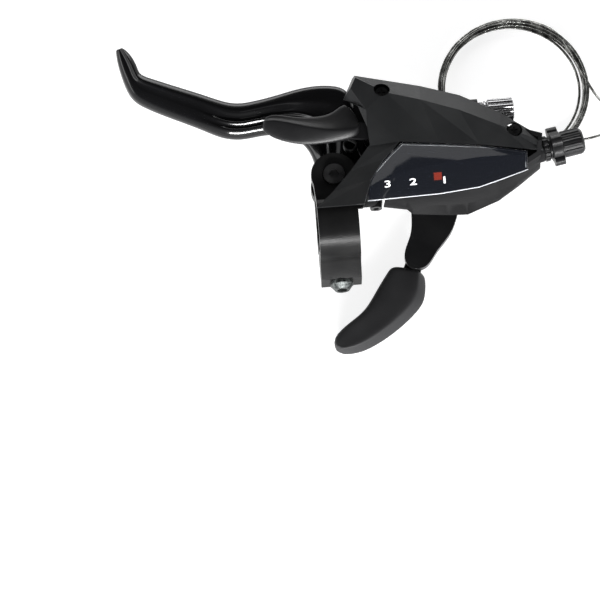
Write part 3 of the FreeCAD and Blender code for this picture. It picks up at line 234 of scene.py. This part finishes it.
def finish(name):
    given = {**plainFinish, **finishes[name]}
    paint = bpy.data.materials.new(name)
    paint.use_nodes = True
    tree = paint.node_tree
    shader = tree.nodes["Principled BSDF"]
    place, group, bump = (tree.nodes.new(kind) for kind in (
        "ShaderNodeTexCoord", "ShaderNodeGroup", "ShaderNodeBump"))
    tint, sheen = tree.nodes.new("ShaderNodeMix"), tree.nodes.new("ShaderNodeMapRange")
    group.node_tree = grainGroup
    group.inputs["Grain Size"].default_value = given["grain"]
    group.inputs["Cloud Size"].default_value = given["cloud"]
    bump.inputs["Distance"].default_value = given["depth"]
    tint.data_type = "RGBA"
    tint.inputs["A"].default_value = (*given["colour"], 1)
    tint.inputs["B"].default_value = (*given["tint"], 1)
    sheen.inputs["To Min"].default_value, sheen.inputs["To Max"].default_value = given["rough"]
    link = tree.links.new
    link(place.outputs["Object"], group.inputs["Vector"])
    link(group.outputs["Cloud"], tint.inputs["Factor"])
    link(group.outputs["Cloud"], sheen.inputs["Value"])
    link(group.outputs["Height"], bump.inputs["Height"])
    link(tint.outputs["Result"], shader.inputs["Base Color"])
    link(sheen.outputs["Result"], shader.inputs["Roughness"])
    link(bump.outputs["Normal"], shader.inputs["Normal"])
    shader.inputs["Metallic"].default_value = given["metal"]
    shader.inputs["Coat Weight"].default_value = given["coat"]
    shader.inputs["Coat Roughness"].default_value = given["coatRough"]
    shader.inputs["Specular IOR Level"].default_value = given["shine"]
    shader.inputs["Emission Color"].default_value = (*given["glow"], 1)
    shader.inputs["Emission Strength"].default_value = given["glowPower"]
    return paint


paints = {name: finish(name) for name in finishes}


# a see-through skin in place of thick glass, so that the dial behind stays crisp
def smokedLens():
    paint = bpy.data.materials.new("smokedLens")
    paint.use_nodes = True
    shader = paint.node_tree.nodes["Principled BSDF"]
    shader.inputs["Base Color"].default_value = (*lensFinish["colour"], 1)
    shader.inputs["Roughness"].default_value = lensFinish["rough"]
    shader.inputs["Alpha"].default_value = lensFinish["alpha"]
    shader.inputs["Specular IOR Level"].default_value = lensFinish["shine"]
    return paint


paints["smokedLens"] = smokedLens()
print("materials made:", len(paints))


# meshes

# weld distances in metres, angles in degrees
meshing = {"weld": 1e-6, "copyWeld": 2e-6, "flatWithin": 1.0, "sharp": 30, "normalWeight": 80,
           "bevelSegments": 3}


def dressed(piece, paint, body, stands=()):
    piece.data.materials.clear()
    piece.data.materials.append(paints[paint])
    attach(piece, body)
    if stands:
        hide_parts(*stands)
    return piece


def meshPiece(name, points, faces, smooth=True):
    mesh = bpy.data.meshes.new(name)
    mesh.from_pydata([Vector(p) * mm for p in points], [], faces)
    form = bmesh.new()
    form.from_mesh(mesh)
    bmesh.ops.remove_doubles(form, verts=form.verts, dist=meshing["weld"])
    bmesh.ops.recalc_face_normals(form, faces=form.faces)
    form.to_mesh(mesh)
    form.free()
    for face in mesh.polygons:
        face.use_smooth = smooth
    piece = bpy.data.objects.new(name, mesh)
    bpy.context.scene.collection.objects.link(piece)
    return piece


def skin(rings):
    # closed rings of as many points each, joined in order, with a face over each end
    count = len(rings[0])
    faces = [tuple(reversed(range(count))),
             tuple((len(rings) - 1) * count + i for i in range(count))]
    for row in range(len(rings) - 1):
        for i in range(count):
            after = (i + 1) % count
            faces.append((row * count + i, row * count + after,
                          (row + 1) * count + after, (row + 1) * count + i))
    return [point for ring in rings for point in ring], faces


def turned(profile, steps, at, along):
    # a closed profile of (radius, height) pairs swept round an axis
    axis = Vector(along).normalized()
    side = axis.cross(Vector((0, 0, 1)) if abs(axis.z) < 0.9 else Vector((1, 0, 0))).normalized()
    other = axis.cross(side)
    points, faces = [], []
    for i in range(steps):
        turn = 2 * math.pi * i / steps
        out = side * math.cos(turn) + other * math.sin(turn)
        points += [Vector(at) + out * radius + axis * height for radius, height in profile]
    count = len(profile)
    for i in range(steps):
        for j in range(count):
            a, b = i * count + j, i * count + (j + 1) % count
            c, d = (i + 1) % steps * count + (j + 1) % count, (i + 1) % steps * count + j
            faces.append((a, b, c, d))
    return points, faces


def joined(*shapes):
    points, faces = [], []
    for more, sides in shapes:
        start = len(points)
        points += list(more)
        faces += [tuple(start + i for i in side) for side in sides]
    return points, faces


def keepSharp(piece, angle):
    piece.data.set_sharp_from_angle(angle=math.radians(angle))


def rounded(piece, width, angle):
    bevel = piece.modifiers.new("edges", "BEVEL")
    bevel.width, bevel.segments = width * mm, meshing["bevelSegments"]
    bevel.limit_method, bevel.angle_limit = "ANGLE", math.radians(angle)
    evened = piece.modifiers.new("shading", "WEIGHTED_NORMAL")
    evened.keep_sharp, evened.weight = True, meshing["normalWeight"]
    return piece


def softened(name, node, width, angle):
    # a copy of a CAD node, merged, with its edges rounded
    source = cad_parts[node]
    mesh = source.data.copy()
    mesh.name = name
    form = bmesh.new()
    form.from_mesh(mesh)
    bmesh.ops.remove_doubles(form, verts=form.verts, dist=meshing["copyWeld"])
    bmesh.ops.dissolve_limit(form, angle_limit=math.radians(meshing["flatWithin"]),
                             verts=form.verts, edges=form.edges)
    form.to_mesh(mesh)
    form.free()
    for face in mesh.polygons:
        face.use_smooth = True
    piece = bpy.data.objects.new(name, mesh)
    bpy.context.scene.collection.objects.link(piece)
    keepSharp(piece, meshing["sharp"])
    return rounded(piece, width, angle)


def smoothed(piece, levels):
    modifier = piece.modifiers.new("smooth", "SUBSURF")
    modifier.levels = modifier.render_levels = levels
    return piece


def steady(value):
    return value * value * (3 - 2 * value)


# gear wire: a lead out of the adjuster and a loose coil that lies on the floor

wire = {
    "length": 1.8, "diameter": 0.0012, "pointsPerTurn": 16, "firstPoint": 2, "turns": 8.8,
    "lead": [(0.1094, 0.03095, -0.0020), (0.1176, 0.0324, -0.0028), (0.1244, 0.0376, -0.0090),
             (0.1260, 0.0470, -0.0180), (0.1226, 0.0566, -0.0254), (0.1184, 0.0646, -0.0286)],
    "centre": (0.0842, 0.0679), "radius": 0.0315, "startTurn": 0.0,
    # each turn's own size, drift and height, so that loose turns fan out
    "spread": [1.9, 0.6, -0.9, 1.6, -0.1, -1.8, 1.0, -0.6, 1.3, 0.2],
    "drift": [(0.3, 0.2), (-0.4, 0.5), (0.5, -0.3), (-0.2, -0.5), (0.4, 0.4), (-0.5, 0.0),
              (0.1, 0.6), (0.5, 0.1), (-0.3, -0.3), (0.2, 0.2)],
    "heights": [-0.0286, -0.0291, -0.0302, -0.0283, -0.0295, -0.0303, -0.0281, -0.0292, -0.0301,
                -0.0288],
}


def wirePoints():
    points = list(wire["lead"])
    steps, centre = wire["pointsPerTurn"], wire["centre"]
    widen = 1 / math.cos(math.pi / steps)
    for i in range(wire["firstPoint"], int(wire["turns"] * steps) + 1):
        turn, share = divmod(i / steps, 1)
        turn, share = int(turn), steady(share)

        def blended(row):
            return row[turn] * (1 - share) + row[turn + 1] * share

        radius = (wire["radius"] + blended(wire["spread"]) * mm) * widen
        along = blended([d[0] for d in wire["drift"]]) * mm
        across = blended([d[1] for d in wire["drift"]]) * mm
        angle = wire["startTurn"] + 2 * math.pi * i / steps
        points.append((centre[0] + along + radius * math.cos(angle),
                       centre[1] + across + radius * math.sin(angle), blended(wire["heights"])))
    return points


def gearWire():
    data = bpy.data.curves.new("gearWire", "CURVE")
    data.dimensions = "3D"
    data.bevel_depth, data.bevel_resolution = wire["diameter"] / 2, 3
    data.use_fill_caps = True
    data.resolution_u = 4
    spline = data.splines.new("NURBS")
    points = wirePoints()
    spline.points.add(len(points) - 1)
    for place, point in zip(spline.points, points):
        place.co = (*point, 1)
    spline.order_u = 3
    spline.use_endpoint_u = True
    piece = bpy.data.objects.new("gearWire", data)
    bpy.context.scene.collection.objects.link(piece)
    dressed(piece, "wireSteelShadeAndGlints", "bracket", ("shift_wire_lead", "shift_wire_coil"))


gearWire()
print("gear wire laid")


# brake lever

lever = {
    # pairs of front and rear edge points along the blade, from its hooked tip to its eye
    "edges": [
        ((-85.6, 88.0), (-89.2, 88.3)), ((-85.3, 87.6), (-89.1, 87.4)),
        ((-83.8, 86.2), (-88.9, 83.4)), ((-82.0, 83.2), (-88.1, 78.8)),
        ((-80.6, 79.8), (-87.0, 74.0)), ((-79.9, 76.4), (-85.4, 68.8)),
        ((-78.6, 74.4), (-83.0, 64.6)), ((-74.6, 72.6), (-78.6, 61.3)),
        ((-66.3, 68.9), (-70.8, 57.0)), ((-60.0, 66.2), (-63.9, 53.6)),
        ((-53.9, 63.5), (-57.1, 50.2)), ((-49.6, 61.5), (-52.1, 47.4)),
        ((-45.6, 59.7), (-47.5, 44.9)), ((-41.6, 58.2), (-43.1, 43.4)),
        ((-37.1, 57.6), (-38.5, 42.8)), ((-32.8, 58.0), (-33.7, 43.2)),
        ((-24.0, 59.4), (-25.4, 44.4)), ((-15.3, 61.6), (-17.6, 43.0)),
        ((-6.5, 63.2), (-12.0, 39.4)), ((3.2, 62.8), (-9.0, 34.6)), ((10.2, 60.2), (-7.9, 31.0)),
        ((12.0, 50.0), (-7.3, 28.0)), ((9.8, 34.0), (-7.0, 25.4)), ((7.4, 24.6), (-6.8, 23.4)),
        ((7.2, 24.0), (-6.7, 23.2))],
    # across the blade: share of the way from the front edge, height, and how deep the grooves cut
    "top": [(-0.01, 2.2, 0), (-0.01, 5.0, 0), (0.01, 6.2, 0), (0.07, 7.0, 0), (0.16, 7.5, 0),
            (0.25, 7.9, 0), (0.31, 8.0, 0), (0.38, 7.2, 0), (0.46, 6.6, -0.5), (0.54, 6.35, -0.9),
            (0.60, 6.3, 0.35), (0.65, 6.1, 0.35), (0.71, 5.9, -0.7), (0.77, 5.6, -0.5),
            (0.82, 5.3, 0.5), (0.87, 4.9, 0.4), (0.95, 4.0, 0), (1.0, 2.8, 0)],
    "under": [(1.01, 0.6, 0), (0.99, -0.7, 0), (0.86, -0.95, 0), (0.5, 0.2, 0), (0.14, -0.95, 0),
              (0.02, -0.7, 0), (-0.01, 0.4, 0)],
    # the grooves begin and are full at these edge pairs; the blade thins over its first few, round
    # the middle height, from this share of its full thickness
    "grooveFrom": 10, "grooveFull": 13, "thinPairs": 5, "tipShare": 0.6, "middle": 3.4,
    "eyeAt": (0, 18.4, 0), "eyeRadius": 7.0, "eyeChamfer": 0.5, "boreRadius": 4.0,
    "low": -1.0, "high": 7.9, "sides": 64, "sharp": 40, "levels": 3,
}


def brakeLever():
    rings = []
    grooveRun = lever["grooveFull"] - lever["grooveFrom"]
    tipShare, middle = lever["tipShare"], lever["middle"]
    for i, (front, rear) in enumerate(lever["edges"]):
        front, rear = Vector((*front, 0)), Vector((*rear, 0))
        cutIn = min(1.0, max(0.0, (i - lever["grooveFrom"]) / grooveRun))
        thin = tipShare + (1 - tipShare) * min(1.0, i / lever["thinPairs"])
        ring = []
        for share, height, groove in lever["top"] + lever["under"]:
            place = front.lerp(rear, share)
            place.z = middle + (height + groove * cutIn - middle) * thin
            ring.append(place)
        rings.append(ring)
    low, high, chamfer = lever["low"], lever["high"], lever["eyeChamfer"]
    bore, radius = lever["boreRadius"], lever["eyeRadius"]
    profile = [(bore, low), (radius - chamfer, low), (radius, low + chamfer),
               (radius, high - chamfer), (radius - chamfer, high), (bore, high)]
    blade = smoothed(meshPiece("brakeLeverBlade", *skin(rings)), lever["levels"])
    eye = meshPiece("brakeLeverEye", *turned(profile, lever["sides"], lever["eyeAt"], (0, 0, 1)))
    keepSharp(eye, lever["sharp"])
    for piece in (blade, eye):
        dressed(piece, "leverPaint", "brake_lever", ("brake_lever",))


brakeLever()
print("brake lever made")


# release trigger

trigger = {
    # front edge, crease and rear edge of the finger plate, with their heights
    "edges": [
        ((-28.0, 45.4, 15.6), (-28.6, 43.8, 16.0), (-29.0, 42.0, 15.2)),
        ((-26.2, 46.4, 16.4), (-27.2, 43.9, 17.2), (-28.4, 40.0, 15.0)),
        ((-23.4, 46.9, 16.9), (-23.6, 43.4, 17.9), (-25.4, 37.6, 14.8)),
        ((-18.8, 45.8, 17.1), (-18.8, 42.0, 18.3), (-21.0, 34.9, 14.6)),
        ((-12.4, 44.5, 16.8), (-12.0, 39.8, 18.4), (-14.8, 32.9, 14.6)),
        ((-5.9, 44.4, 16.4), (-6.0, 37.9, 18.4), (-8.0, 32.3, 14.8)),
        ((-1.2, 44.9, 16.2), (-1.0, 36.8, 18.4), (-2.4, 32.3, 15.0)),
        ((2.4, 46.3, 16.4), (2.6, 36.4, 18.3), (1.6, 32.5, 15.2)),
        ((5.6, 48.6, 16.6), (6.2, 36.2, 18.2), (5.4, 32.9, 15.3)),
        ((8.0, 49.2, 16.8), (9.6, 36.4, 18.0), (8.8, 33.5, 15.4)),
        ((10.2, 45.6, 16.9), (12.0, 37.0, 17.6), (11.4, 34.4, 15.5)),
        ((12.2, 42.0, 16.9), (13.0, 38.8, 17.4), (12.8, 36.0, 15.6))],
    "under": 13.5, "hollow": 0.35, "levels": 2,
    "hub": (19.0, 36.0), "hubRadius": 4.6, "hubBore": 1.55, "hubUnder": 9.6, "hubTop": 15.4,
    "hubSides": 48, "sharp": 30,
    "web": [(5.0, 34.2), (15.6, 32.4), (15.6, 39.8), (5.0, 42.8)],
    "webUnder": 13.5, "webTop": 15.35,
    "tail": [(22.6, 34.4), (29.0, 36.0), (29.0, 39.0), (22.6, 38.6)], "tailHeight": 2.4,
}


def slab(outline, low, high):
    return skin([[(x, y, low) for x, y in outline], [(x, y, high) for x, y in outline]])


def releaseTrigger():
    rings = []
    for front, crease, rear in trigger["edges"]:
        front, crease, rear = Vector(front), Vector(crease), Vector(rear)
        dip = Vector((0, 0, trigger["hollow"]))   # the front facet is slightly hollow
        under = trigger["under"]
        rings.append([
            Vector((front.x, front.y, under + 0.8)), front - Vector((0, 0, 0.5)),
            front.lerp(crease, 0.08) + Vector((0, 0, 0.1)), front.lerp(crease, 0.5) - dip,
            crease - (crease - front) * 0.06, crease + (rear - crease) * 0.05,
            crease.lerp(rear, 0.5) + Vector((0, 0, 0.25)),
            rear.lerp(crease, 0.06) + Vector((0, 0, 0.1)),
            rear - Vector((0, 0, 0.6)), Vector((rear.x, rear.y, under + 0.5)),
            Vector((*rear.lerp(crease, 0.15).xy, under)),
            Vector((*front.lerp(crease, 0.15).xy, under))])
    finger = smoothed(meshPiece("triggerFinger", *skin(rings)), trigger["levels"])
    bore, radius = trigger["hubBore"], trigger["hubRadius"]
    low, high = trigger["hubUnder"], trigger["hubTop"]
    hub = turned([(bore, low), (radius, low), (radius, high), (bore, high)], trigger["hubSides"],
                 (*trigger["hub"], 0), (0, 0, 1))
    web = slab(trigger["web"], trigger["webUnder"], trigger["webTop"])
    tail = slab(trigger["tail"], low, low + trigger["tailHeight"])
    root = meshPiece("triggerRoot", *joined(hub, web, tail))
    keepSharp(root, trigger["sharp"])
    for piece in (finger, root):
        dressed(piece, "triggerPlastic", "release_trigger", ("release_trigger",))


releaseTrigger()
print("release trigger made")


# castings and covers: the CAD solids with their edges rounded

# the CAD node, the edge radius, the least angle that counts as an edge, then paint, slot and body
castings = {
    "bracketCasting": ("lever_bracket", 0.7, 35, "bracketPaint", "bracket_paint", "bracket"),
    "topCover": ("top_cover", 0.45, 12, "coverPlastic", "cover_plastic", "bracket"),
    "lowerCase": ("lower_case", 0.6, 25, "casePlastic", "cover_plastic", "bracket"),
    "thumbArm": ("thumb_lever_arm", 0.45, 35, "armPaint", "arm_steel", "thumb_lever"),
}
for name, (node, width, angle, paint, slot, body) in castings.items():
    dressed(softened(name, node, width, angle), paint, body, (node,))
print("castings and covers made")


# thumb pad

pad = {
    # left and right edge points from the arm's end to the tip
    "edges": [
        ((22.6, -11.9), (36.4, -14.9)), ((20.6, -14.6), (36.9, -18.4)),
        ((16.5, -20.2), (36.6, -23.0)), ((12.6, -26.2), (35.4, -28.6)),
        ((9.5, -30.6), (31.6, -33.0)), ((5.6, -34.0), (26.6, -37.4)),
        ((1.6, -36.6), (20.4, -42.0)), ((-2.4, -39.7), (13.6, -46.0)),
        ((-4.7, -42.2), (7.6, -48.6)), ((-5.5, -44.6), (2.6, -49.4)),
        ((-5.0, -46.6), (-0.6, -49.2)), ((-4.2, -47.6), (-2.6, -48.6))],
    # across the pad: share of the way, height; the right side falls as a sloping strip
    "section": [
                (0.0, -25.2), (0.01, -23.0), (0.06, -21.9), (0.2, -21.6), (0.45, -21.8),
                (0.7, -21.7), (0.8, -21.9), (0.85, -22.5), (1.0, -26.8), (1.0, -28.4),
                (0.9, -29.0), (0.5, -29.1), (0.1, -29.0), (0.01, -28.2)],
    "levels": 2,
}


def thumbPad():
    rings = []
    for left, right in pad["edges"]:
        left, right = Vector((*left, 0)), Vector((*right, 0))
        rings.append([Vector((*left.lerp(right, share).xy, height))
                      for share, height in pad["section"]])
    piece = smoothed(meshPiece("thumbPad", *skin(rings)), pad["levels"])
    dressed(piece, "padRubber", "thumb_lever", ("thumb_pad",))


thumbPad()
print("thumb pad made")


# cable adjusters: turned cores with ribs set round them

turning = {"sides": 64, "ribSides": 12, "sharp": 35}


def ribTree():
    tree = bpy.data.node_groups.new("ribsAround", "GeometryNodeTree")
    face = tree.interface
    face.new_socket("Geometry", in_out="INPUT", socket_type="NodeSocketGeometry")
    for label, kind in (("Ribs", "NodeSocketInt"), ("Ring Radius", "NodeSocketFloat"),
                        ("Rib Radius", "NodeSocketFloat"), ("Rib Length", "NodeSocketFloat"),
                        ("Start", "NodeSocketFloat"), ("Finish", "NodeSocketMaterial")):
        face.new_socket(label, in_out="INPUT", socket_type=kind)
    face.new_socket("Geometry", in_out="OUTPUT", socket_type="NodeSocketGeometry")
    new, link = tree.nodes.new, tree.links.new
    given, made = new("NodeGroupInput"), new("NodeGroupOutput")
    ring, rib, spots, half, raised, shift, moved, both, real, paint = (new(kind) for kind in (
        "GeometryNodeMeshCircle", "GeometryNodeMeshCylinder", "GeometryNodeInstanceOnPoints",
        "ShaderNodeMath", "ShaderNodeMath", "ShaderNodeCombineXYZ", "GeometryNodeTransform",
        "GeometryNodeJoinGeometry", "GeometryNodeRealizeInstances", "GeometryNodeSetMaterial"))
    rib.inputs["Vertices"].default_value = turning["ribSides"]
    half.operation, half.inputs[1].default_value = "MULTIPLY", 0.5
    raised.operation = "ADD"
    link(given.outputs["Ribs"], ring.inputs["Vertices"])
    link(given.outputs["Ring Radius"], ring.inputs["Radius"])
    link(given.outputs["Rib Radius"], rib.inputs["Radius"])
    link(given.outputs["Rib Length"], rib.inputs["Depth"])
    link(given.outputs["Rib Length"], half.inputs[0])
    link(half.outputs[0], raised.inputs[0])
    link(given.outputs["Start"], raised.inputs[1])
    link(raised.outputs[0], shift.inputs["Z"])
    link(rib.outputs["Mesh"], spots.inputs["Instance"])
    link(ring.outputs["Mesh"], spots.inputs["Points"])
    link(spots.outputs["Instances"], moved.inputs["Geometry"])
    link(shift.outputs["Vector"], moved.inputs["Translation"])
    link(given.outputs["Geometry"], both.inputs["Geometry"])
    link(moved.outputs["Geometry"], both.inputs["Geometry"])
    link(both.outputs["Geometry"], real.inputs["Geometry"])
    link(real.outputs["Geometry"], paint.inputs["Geometry"])
    link(given.outputs["Finish"], paint.inputs["Material"])
    link(paint.outputs["Geometry"], made.inputs["Geometry"])
    return tree


ribs = ribTree()


def ribbed(name, profile, axle, paint, count, ring, radius, length, start):
    # a turned core at the origin, ribs added by the tree, then the mesh laid along its axle
    core = meshPiece(name + "Core", *turned(profile, turning["sides"], (0, 0, 0), (0, 0, 1)))
    modifier = core.modifiers.new("ribs", "NODES")
    modifier.node_group = ribs
    sockets = {item.name: item.identifier for item in ribs.interface.items_tree
               if item.item_type == "SOCKET" and item.in_out == "INPUT"}
    modifier[sockets["Ribs"]] = count
    for label, value in (("Ring Radius", ring), ("Rib Radius", radius), ("Rib Length", length),
                         ("Start", start)):
        modifier[sockets[label]] = value * mm
    modifier[sockets["Finish"]] = paints[paint]
    bpy.context.view_layer.update()
    graph = bpy.context.evaluated_depsgraph_get()
    mesh = bpy.data.meshes.new_from_object(core.evaluated_get(graph))
    bpy.data.objects.remove(core)
    at, along = axle
    axis = Vector(along).normalized()
    lay = Matrix.Translation(Vector(at) * mm) @ axis.to_track_quat("Z", "Y").to_matrix().to_4x4()
    mesh.transform(lay)
    piece = bpy.data.objects.new(name, mesh)
    bpy.context.scene.collection.objects.link(piece)
    for face in mesh.polygons:
        face.use_smooth = True
    keepSharp(piece, turning["sharp"])
    return piece


# ribs are their count, the ring's radius, a rib's radius and length, and where they start
brakeAdjuster = {
    "axle": ((0, 45.5, 3.5), (1, 0, 0)), "grip": (68.5, 80.5), "core": 4.75, "chamfer": 0.8,
    "thread": 3.35, "threadFrom": 59.0, "socket": 2.55, "socketDepth": 8.0, "wireHole": 1.0,
    "ribs": (12, 4.15, 1.12, 10.6, 69.4),
    "lockRing": {"inner": 3.55, "face": 3.8, "outer": 4.0, "low": 65.1, "high": 67.5,
                 "chamfer": 0.3, "ribs": (18, 3.9, 0.4, 1.8, 65.4)},
}
wireTurn = math.radians(10)
shiftAdjuster = {
    "axle": ((91.0, 27.7, -2.0), (math.cos(wireTurn), math.sin(wireTurn), 0)),
    "grip": (4.2, 18.6), "core": 5.5, "chamfer": 0.9, "thread": 3.35, "threadFrom": -6.0,
    "socket": 2.05, "socketDepth": 8.0, "wireHole": 1.0, "ribs": (12, 5.0, 0.9, 7.8, 9.4),
    "wings": {"inner": 5.2, "face": 6.2, "outer": 6.5, "low": 4.2, "high": 8.8, "chamfer": 0.4,
              "ribs": (4, 6.4, 2.5, 4.5, 4.25)},
    "collar": {"inner": 3.55, "face": 4.9, "outer": 5.15, "low": 0.7, "high": 3.2,
               "chamfer": 0.3, "ribs": (16, 5.05, 0.5, 1.9, 1.0)},
}


def barrelProfile(sizes):
    start, end = sizes["grip"]
    core, chamfer, bottom = sizes["core"], sizes["chamfer"], end - sizes["socketDepth"]
    return [(sizes["wireHole"], sizes["threadFrom"]), (sizes["thread"], sizes["threadFrom"]),
            (sizes["thread"], start), (core - chamfer, start), (core, start + chamfer),
            (core, end - chamfer), (core - chamfer, end), (sizes["socket"], end),
            (sizes["socket"], bottom), (sizes["wireHole"], bottom)]


def ringProfile(sizes):
    inner, face, outer = sizes["inner"], sizes["face"], sizes["outer"]
    low, high, chamfer = sizes["low"], sizes["high"], sizes["chamfer"]
    return [(inner, low), (face, low), (outer, low + chamfer), (outer, high - chamfer),
            (face, high), (inner, high)]


def adjusters():
    for name, sizes, profile, axle, paint, slot, body, node in (
            ("brakeAdjusterBarrel", brakeAdjuster, barrelProfile, brakeAdjuster["axle"],
             "silverAlloy", "silver_alloy", "brake_adjuster", "brake_adjuster_barrel"),
            ("brakeAdjusterLockRing", brakeAdjuster["lockRing"], ringProfile, brakeAdjuster["axle"],
             "silverAlloy", "silver_alloy", "bracket", "brake_adjuster_lock_ring"),
            ("shiftAdjusterBarrel", shiftAdjuster, barrelProfile, shiftAdjuster["axle"],
             "adjusterPlastic", "adjuster_plastic", "shift_adjuster", "shift_adjuster_barrel"),
            ("shiftAdjusterWings", shiftAdjuster["wings"], ringProfile, shiftAdjuster["axle"],
             "adjusterPlastic", "adjuster_plastic", "shift_adjuster", "shift_adjuster_barrel"),
            ("shiftAdjusterCollar", shiftAdjuster["collar"], ringProfile, shiftAdjuster["axle"],
             "adjusterPlastic", "adjuster_plastic", "bracket", "shift_adjuster_collar")):
        piece = ribbed(name, profile(sizes), axle, paint, *sizes["ribs"])
        dressed(piece, paint, body, (node,))


adjusters()
print("cable adjusters made")


# window: a creased, smoked shell, with the dial numbers on it

window = {
    "corner": (29.5, 29.0, 17.0), "up": (0.085, -0.549, 0.831), "thick": 1.6, "creaseHeight": 0.8,
    # top edge, crease and bottom edge points from left to right, in the window's own plane
    "columns": [
        ((-14.3, -15.4), (-14.8, -18.0), (-15.8, -24.1)),
        ((-11.7, -11.0), (-10.4, -15.7), (-11.0, -24.1)),
        ((-5.6, -5.0), (-1.6, -13.0), (-2.0, -24.1)), ((0.3, -0.2), (7.4, -11.6), (7.0, -24.1)),
        ((17.1, -2.3), (20.9, -10.3), (15.6, -24.1)), ((34.2, -4.7), (34.0, -9.6), (33.0, -22.9)),
        ((46.0, -7.2), (46.4, -10.0), (42.0, -20.7)), ((54.8, -9.1), (54.7, -11.0), (54.6, -17.3))],
    # the crown rises from its first share by the next for each column in from an end
    "crownRise": (0.35, 0.4), "bevel": 0.35, "bevelAngle": 30, "sharp": 6,
    "numbers": [("3", -6.9, -17.6), ("2", 4.2, -17.7), ("1", 17.8, -18.3)], "numberSize": 4.1,
    "numberWiden": 1.6, "numberThick": 0.3, "numberLift": 0.05, "numberBolder": 0.06,
    "edgeRadius": 0.24, "rimRadius": 0.16, "edgeLift": 0.05, "edgeSides": 8,
    # how far the rim stands in from the top edge, and from the last column's ends
    "rimInset": (0.5, -0.9), "rimCorners": ((-0.9, -0.9), (-0.9, 0.8)),
}


def windowPlace():
    up = Vector(window["up"]).normalized()
    right = (Vector((1, 0, 0)) - up * up.x).normalized()
    back = up.cross(right)
    turn = Matrix((right, back, up)).transposed().to_4x4()
    return Matrix.Translation(Vector(window["corner"]) * mm) @ turn


def windowLens():
    rings = []
    last = len(window["columns"]) - 1
    first, rise = window["crownRise"]
    under = Vector((0, 0, -window["thick"]))
    for i, (top, crease, low) in enumerate(window["columns"]):
        top, crease, low = Vector((*top, 0)), Vector((*crease, 0)), Vector((*low, 0))
        crown = window["creaseHeight"] * min(1.0, first + i * rise, first + (last - i) * rise)
        rings.append([top, top.lerp(crease, 0.5) + Vector((0, 0, crown * 0.62)),
                      crease + Vector((0, 0, crown)),
                      crease.lerp(low, 0.5) + Vector((0, 0, crown * 0.56)),
                      low, low + under, top + under])
    piece = meshPiece("windowLens", *skin(rings))
    piece.data.transform(windowPlace())
    keepSharp(piece, window["sharp"])
    rounded(piece, window["bevel"], window["bevelAngle"])
    dressed(piece, "smokedLens", "bracket", ("window_lens",))


# thin tubes along the window's border, coloured as painted highlights of its bevels
def windowEdges():
    lift, sides = window["edgeLift"], window["edgeSides"]
    tops = [Vector((*column[0], lift)) for column in window["columns"]]
    lows = [Vector((*column[2], lift)) for column in window["columns"]]
    border = [point + Vector((*window["rimInset"], 0)) for point in tops[1:-1]]
    border += [point + Vector((*inset, 0))
               for point, inset in zip((tops[-1], lows[-1]), window["rimCorners"])]
    for name, paint, path, radius in (("windowEdge", "lensEdgePaintedHighlight", lows, window["edgeRadius"]),
                                      ("windowRim", "lensRimPaintedHighlight", border, window["rimRadius"])):
        rings = []
        for i, point in enumerate(path):
            way = (path[min(i + 1, len(path) - 1)] - path[max(i - 1, 0)]).normalized()
            side = way.cross(Vector((0, 0, 1)))
            rings.append([point + side * radius * math.cos(a) + Vector((0, 0, radius)) * math.sin(a)
                          for a in (2 * math.pi * k / sides for k in range(sides))])
        piece = meshPiece(name, *skin(rings))
        piece.data.transform(windowPlace())
        dressed(piece, paint, "bracket", ("window_lens",))


windowLens()
windowEdges()
print("window made")


def dialNumbers():
    for number, x, y in window["numbers"]:
        text = bpy.data.curves.new("number", "FONT")
        text.body, text.align_x, text.align_y = number, "CENTER", "CENTER"
        text.size, text.extrude = window["numberSize"] * mm, window["numberThick"] / 2 * mm
        text.offset = window["numberBolder"] * mm
        made = bpy.data.objects.new("number", text)
        bpy.context.scene.collection.objects.link(made)
        bpy.context.view_layer.update()
        graph = bpy.context.evaluated_depsgraph_get()
        mesh = bpy.data.meshes.new_from_object(made.evaluated_get(graph))
        bpy.data.objects.remove(made)
        height = window["creaseHeight"] + window["numberLift"]
        mesh.transform(windowPlace() @ Matrix.Translation(Vector((x, y, height)) * mm)
                       @ Matrix.Diagonal((window["numberWiden"], 1, 1, 1)))
        piece = bpy.data.objects.new("dialNumber" + number, mesh)
        bpy.context.scene.collection.objects.link(piece)
        dressed(piece, "digitPaint", "bracket")


dialNumbers()
print("dial numbers made")


# finishes of the CAD pieces that stay as they are

plainPieces = {
    "boltZinc": ["clamp_bolt"],
    "zincPlate": ["clamp_washer", "clamp_nut", "axle_nut", "axle_washer", "wire_nipple",
                  "cable_cradle"],
    "darkSteel": ["lever_pivot_pin", "trigger_pivot_pin", "shift_axle", "pawl_pin",
                  "unit_fixing_screw", "lower_case_screws", "cover_screws", "lever_retaining_screw"],
    "plateSteel": ["base_plate", "top_plate", "plate_pillars", "ratchet_wheel", "holding_pawl",
                   "drive_carrier", "drive_pawl"],
    "springSteel": ["pivot_clip", "lever_return_spring", "trigger_return_spring",
                    "spool_return_spring", "thumb_return_spring", "pawl_spring"],
    "wireSteelShadeAndGlints": ["shift_wire_inner"], "bushMetal": ["lever_pivot_bush"],
    "dialPlastic": ["dial_plate"], "indicatorRedPaintedGlow": ["indicator_flag"],
    "spoolPlastic": ["wire_spool", "indicator_slider"],
    "silverAlloy": ["brake_adjuster_washer"], "adjusterPlastic": ["shift_adjuster_washer"],
}
for paint, nodes in plainPieces.items():
    for node in nodes:
        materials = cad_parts[node].data.materials
        for i in range(len(materials)):
            materials[i] = paints[paint]
print("plain pieces painted")
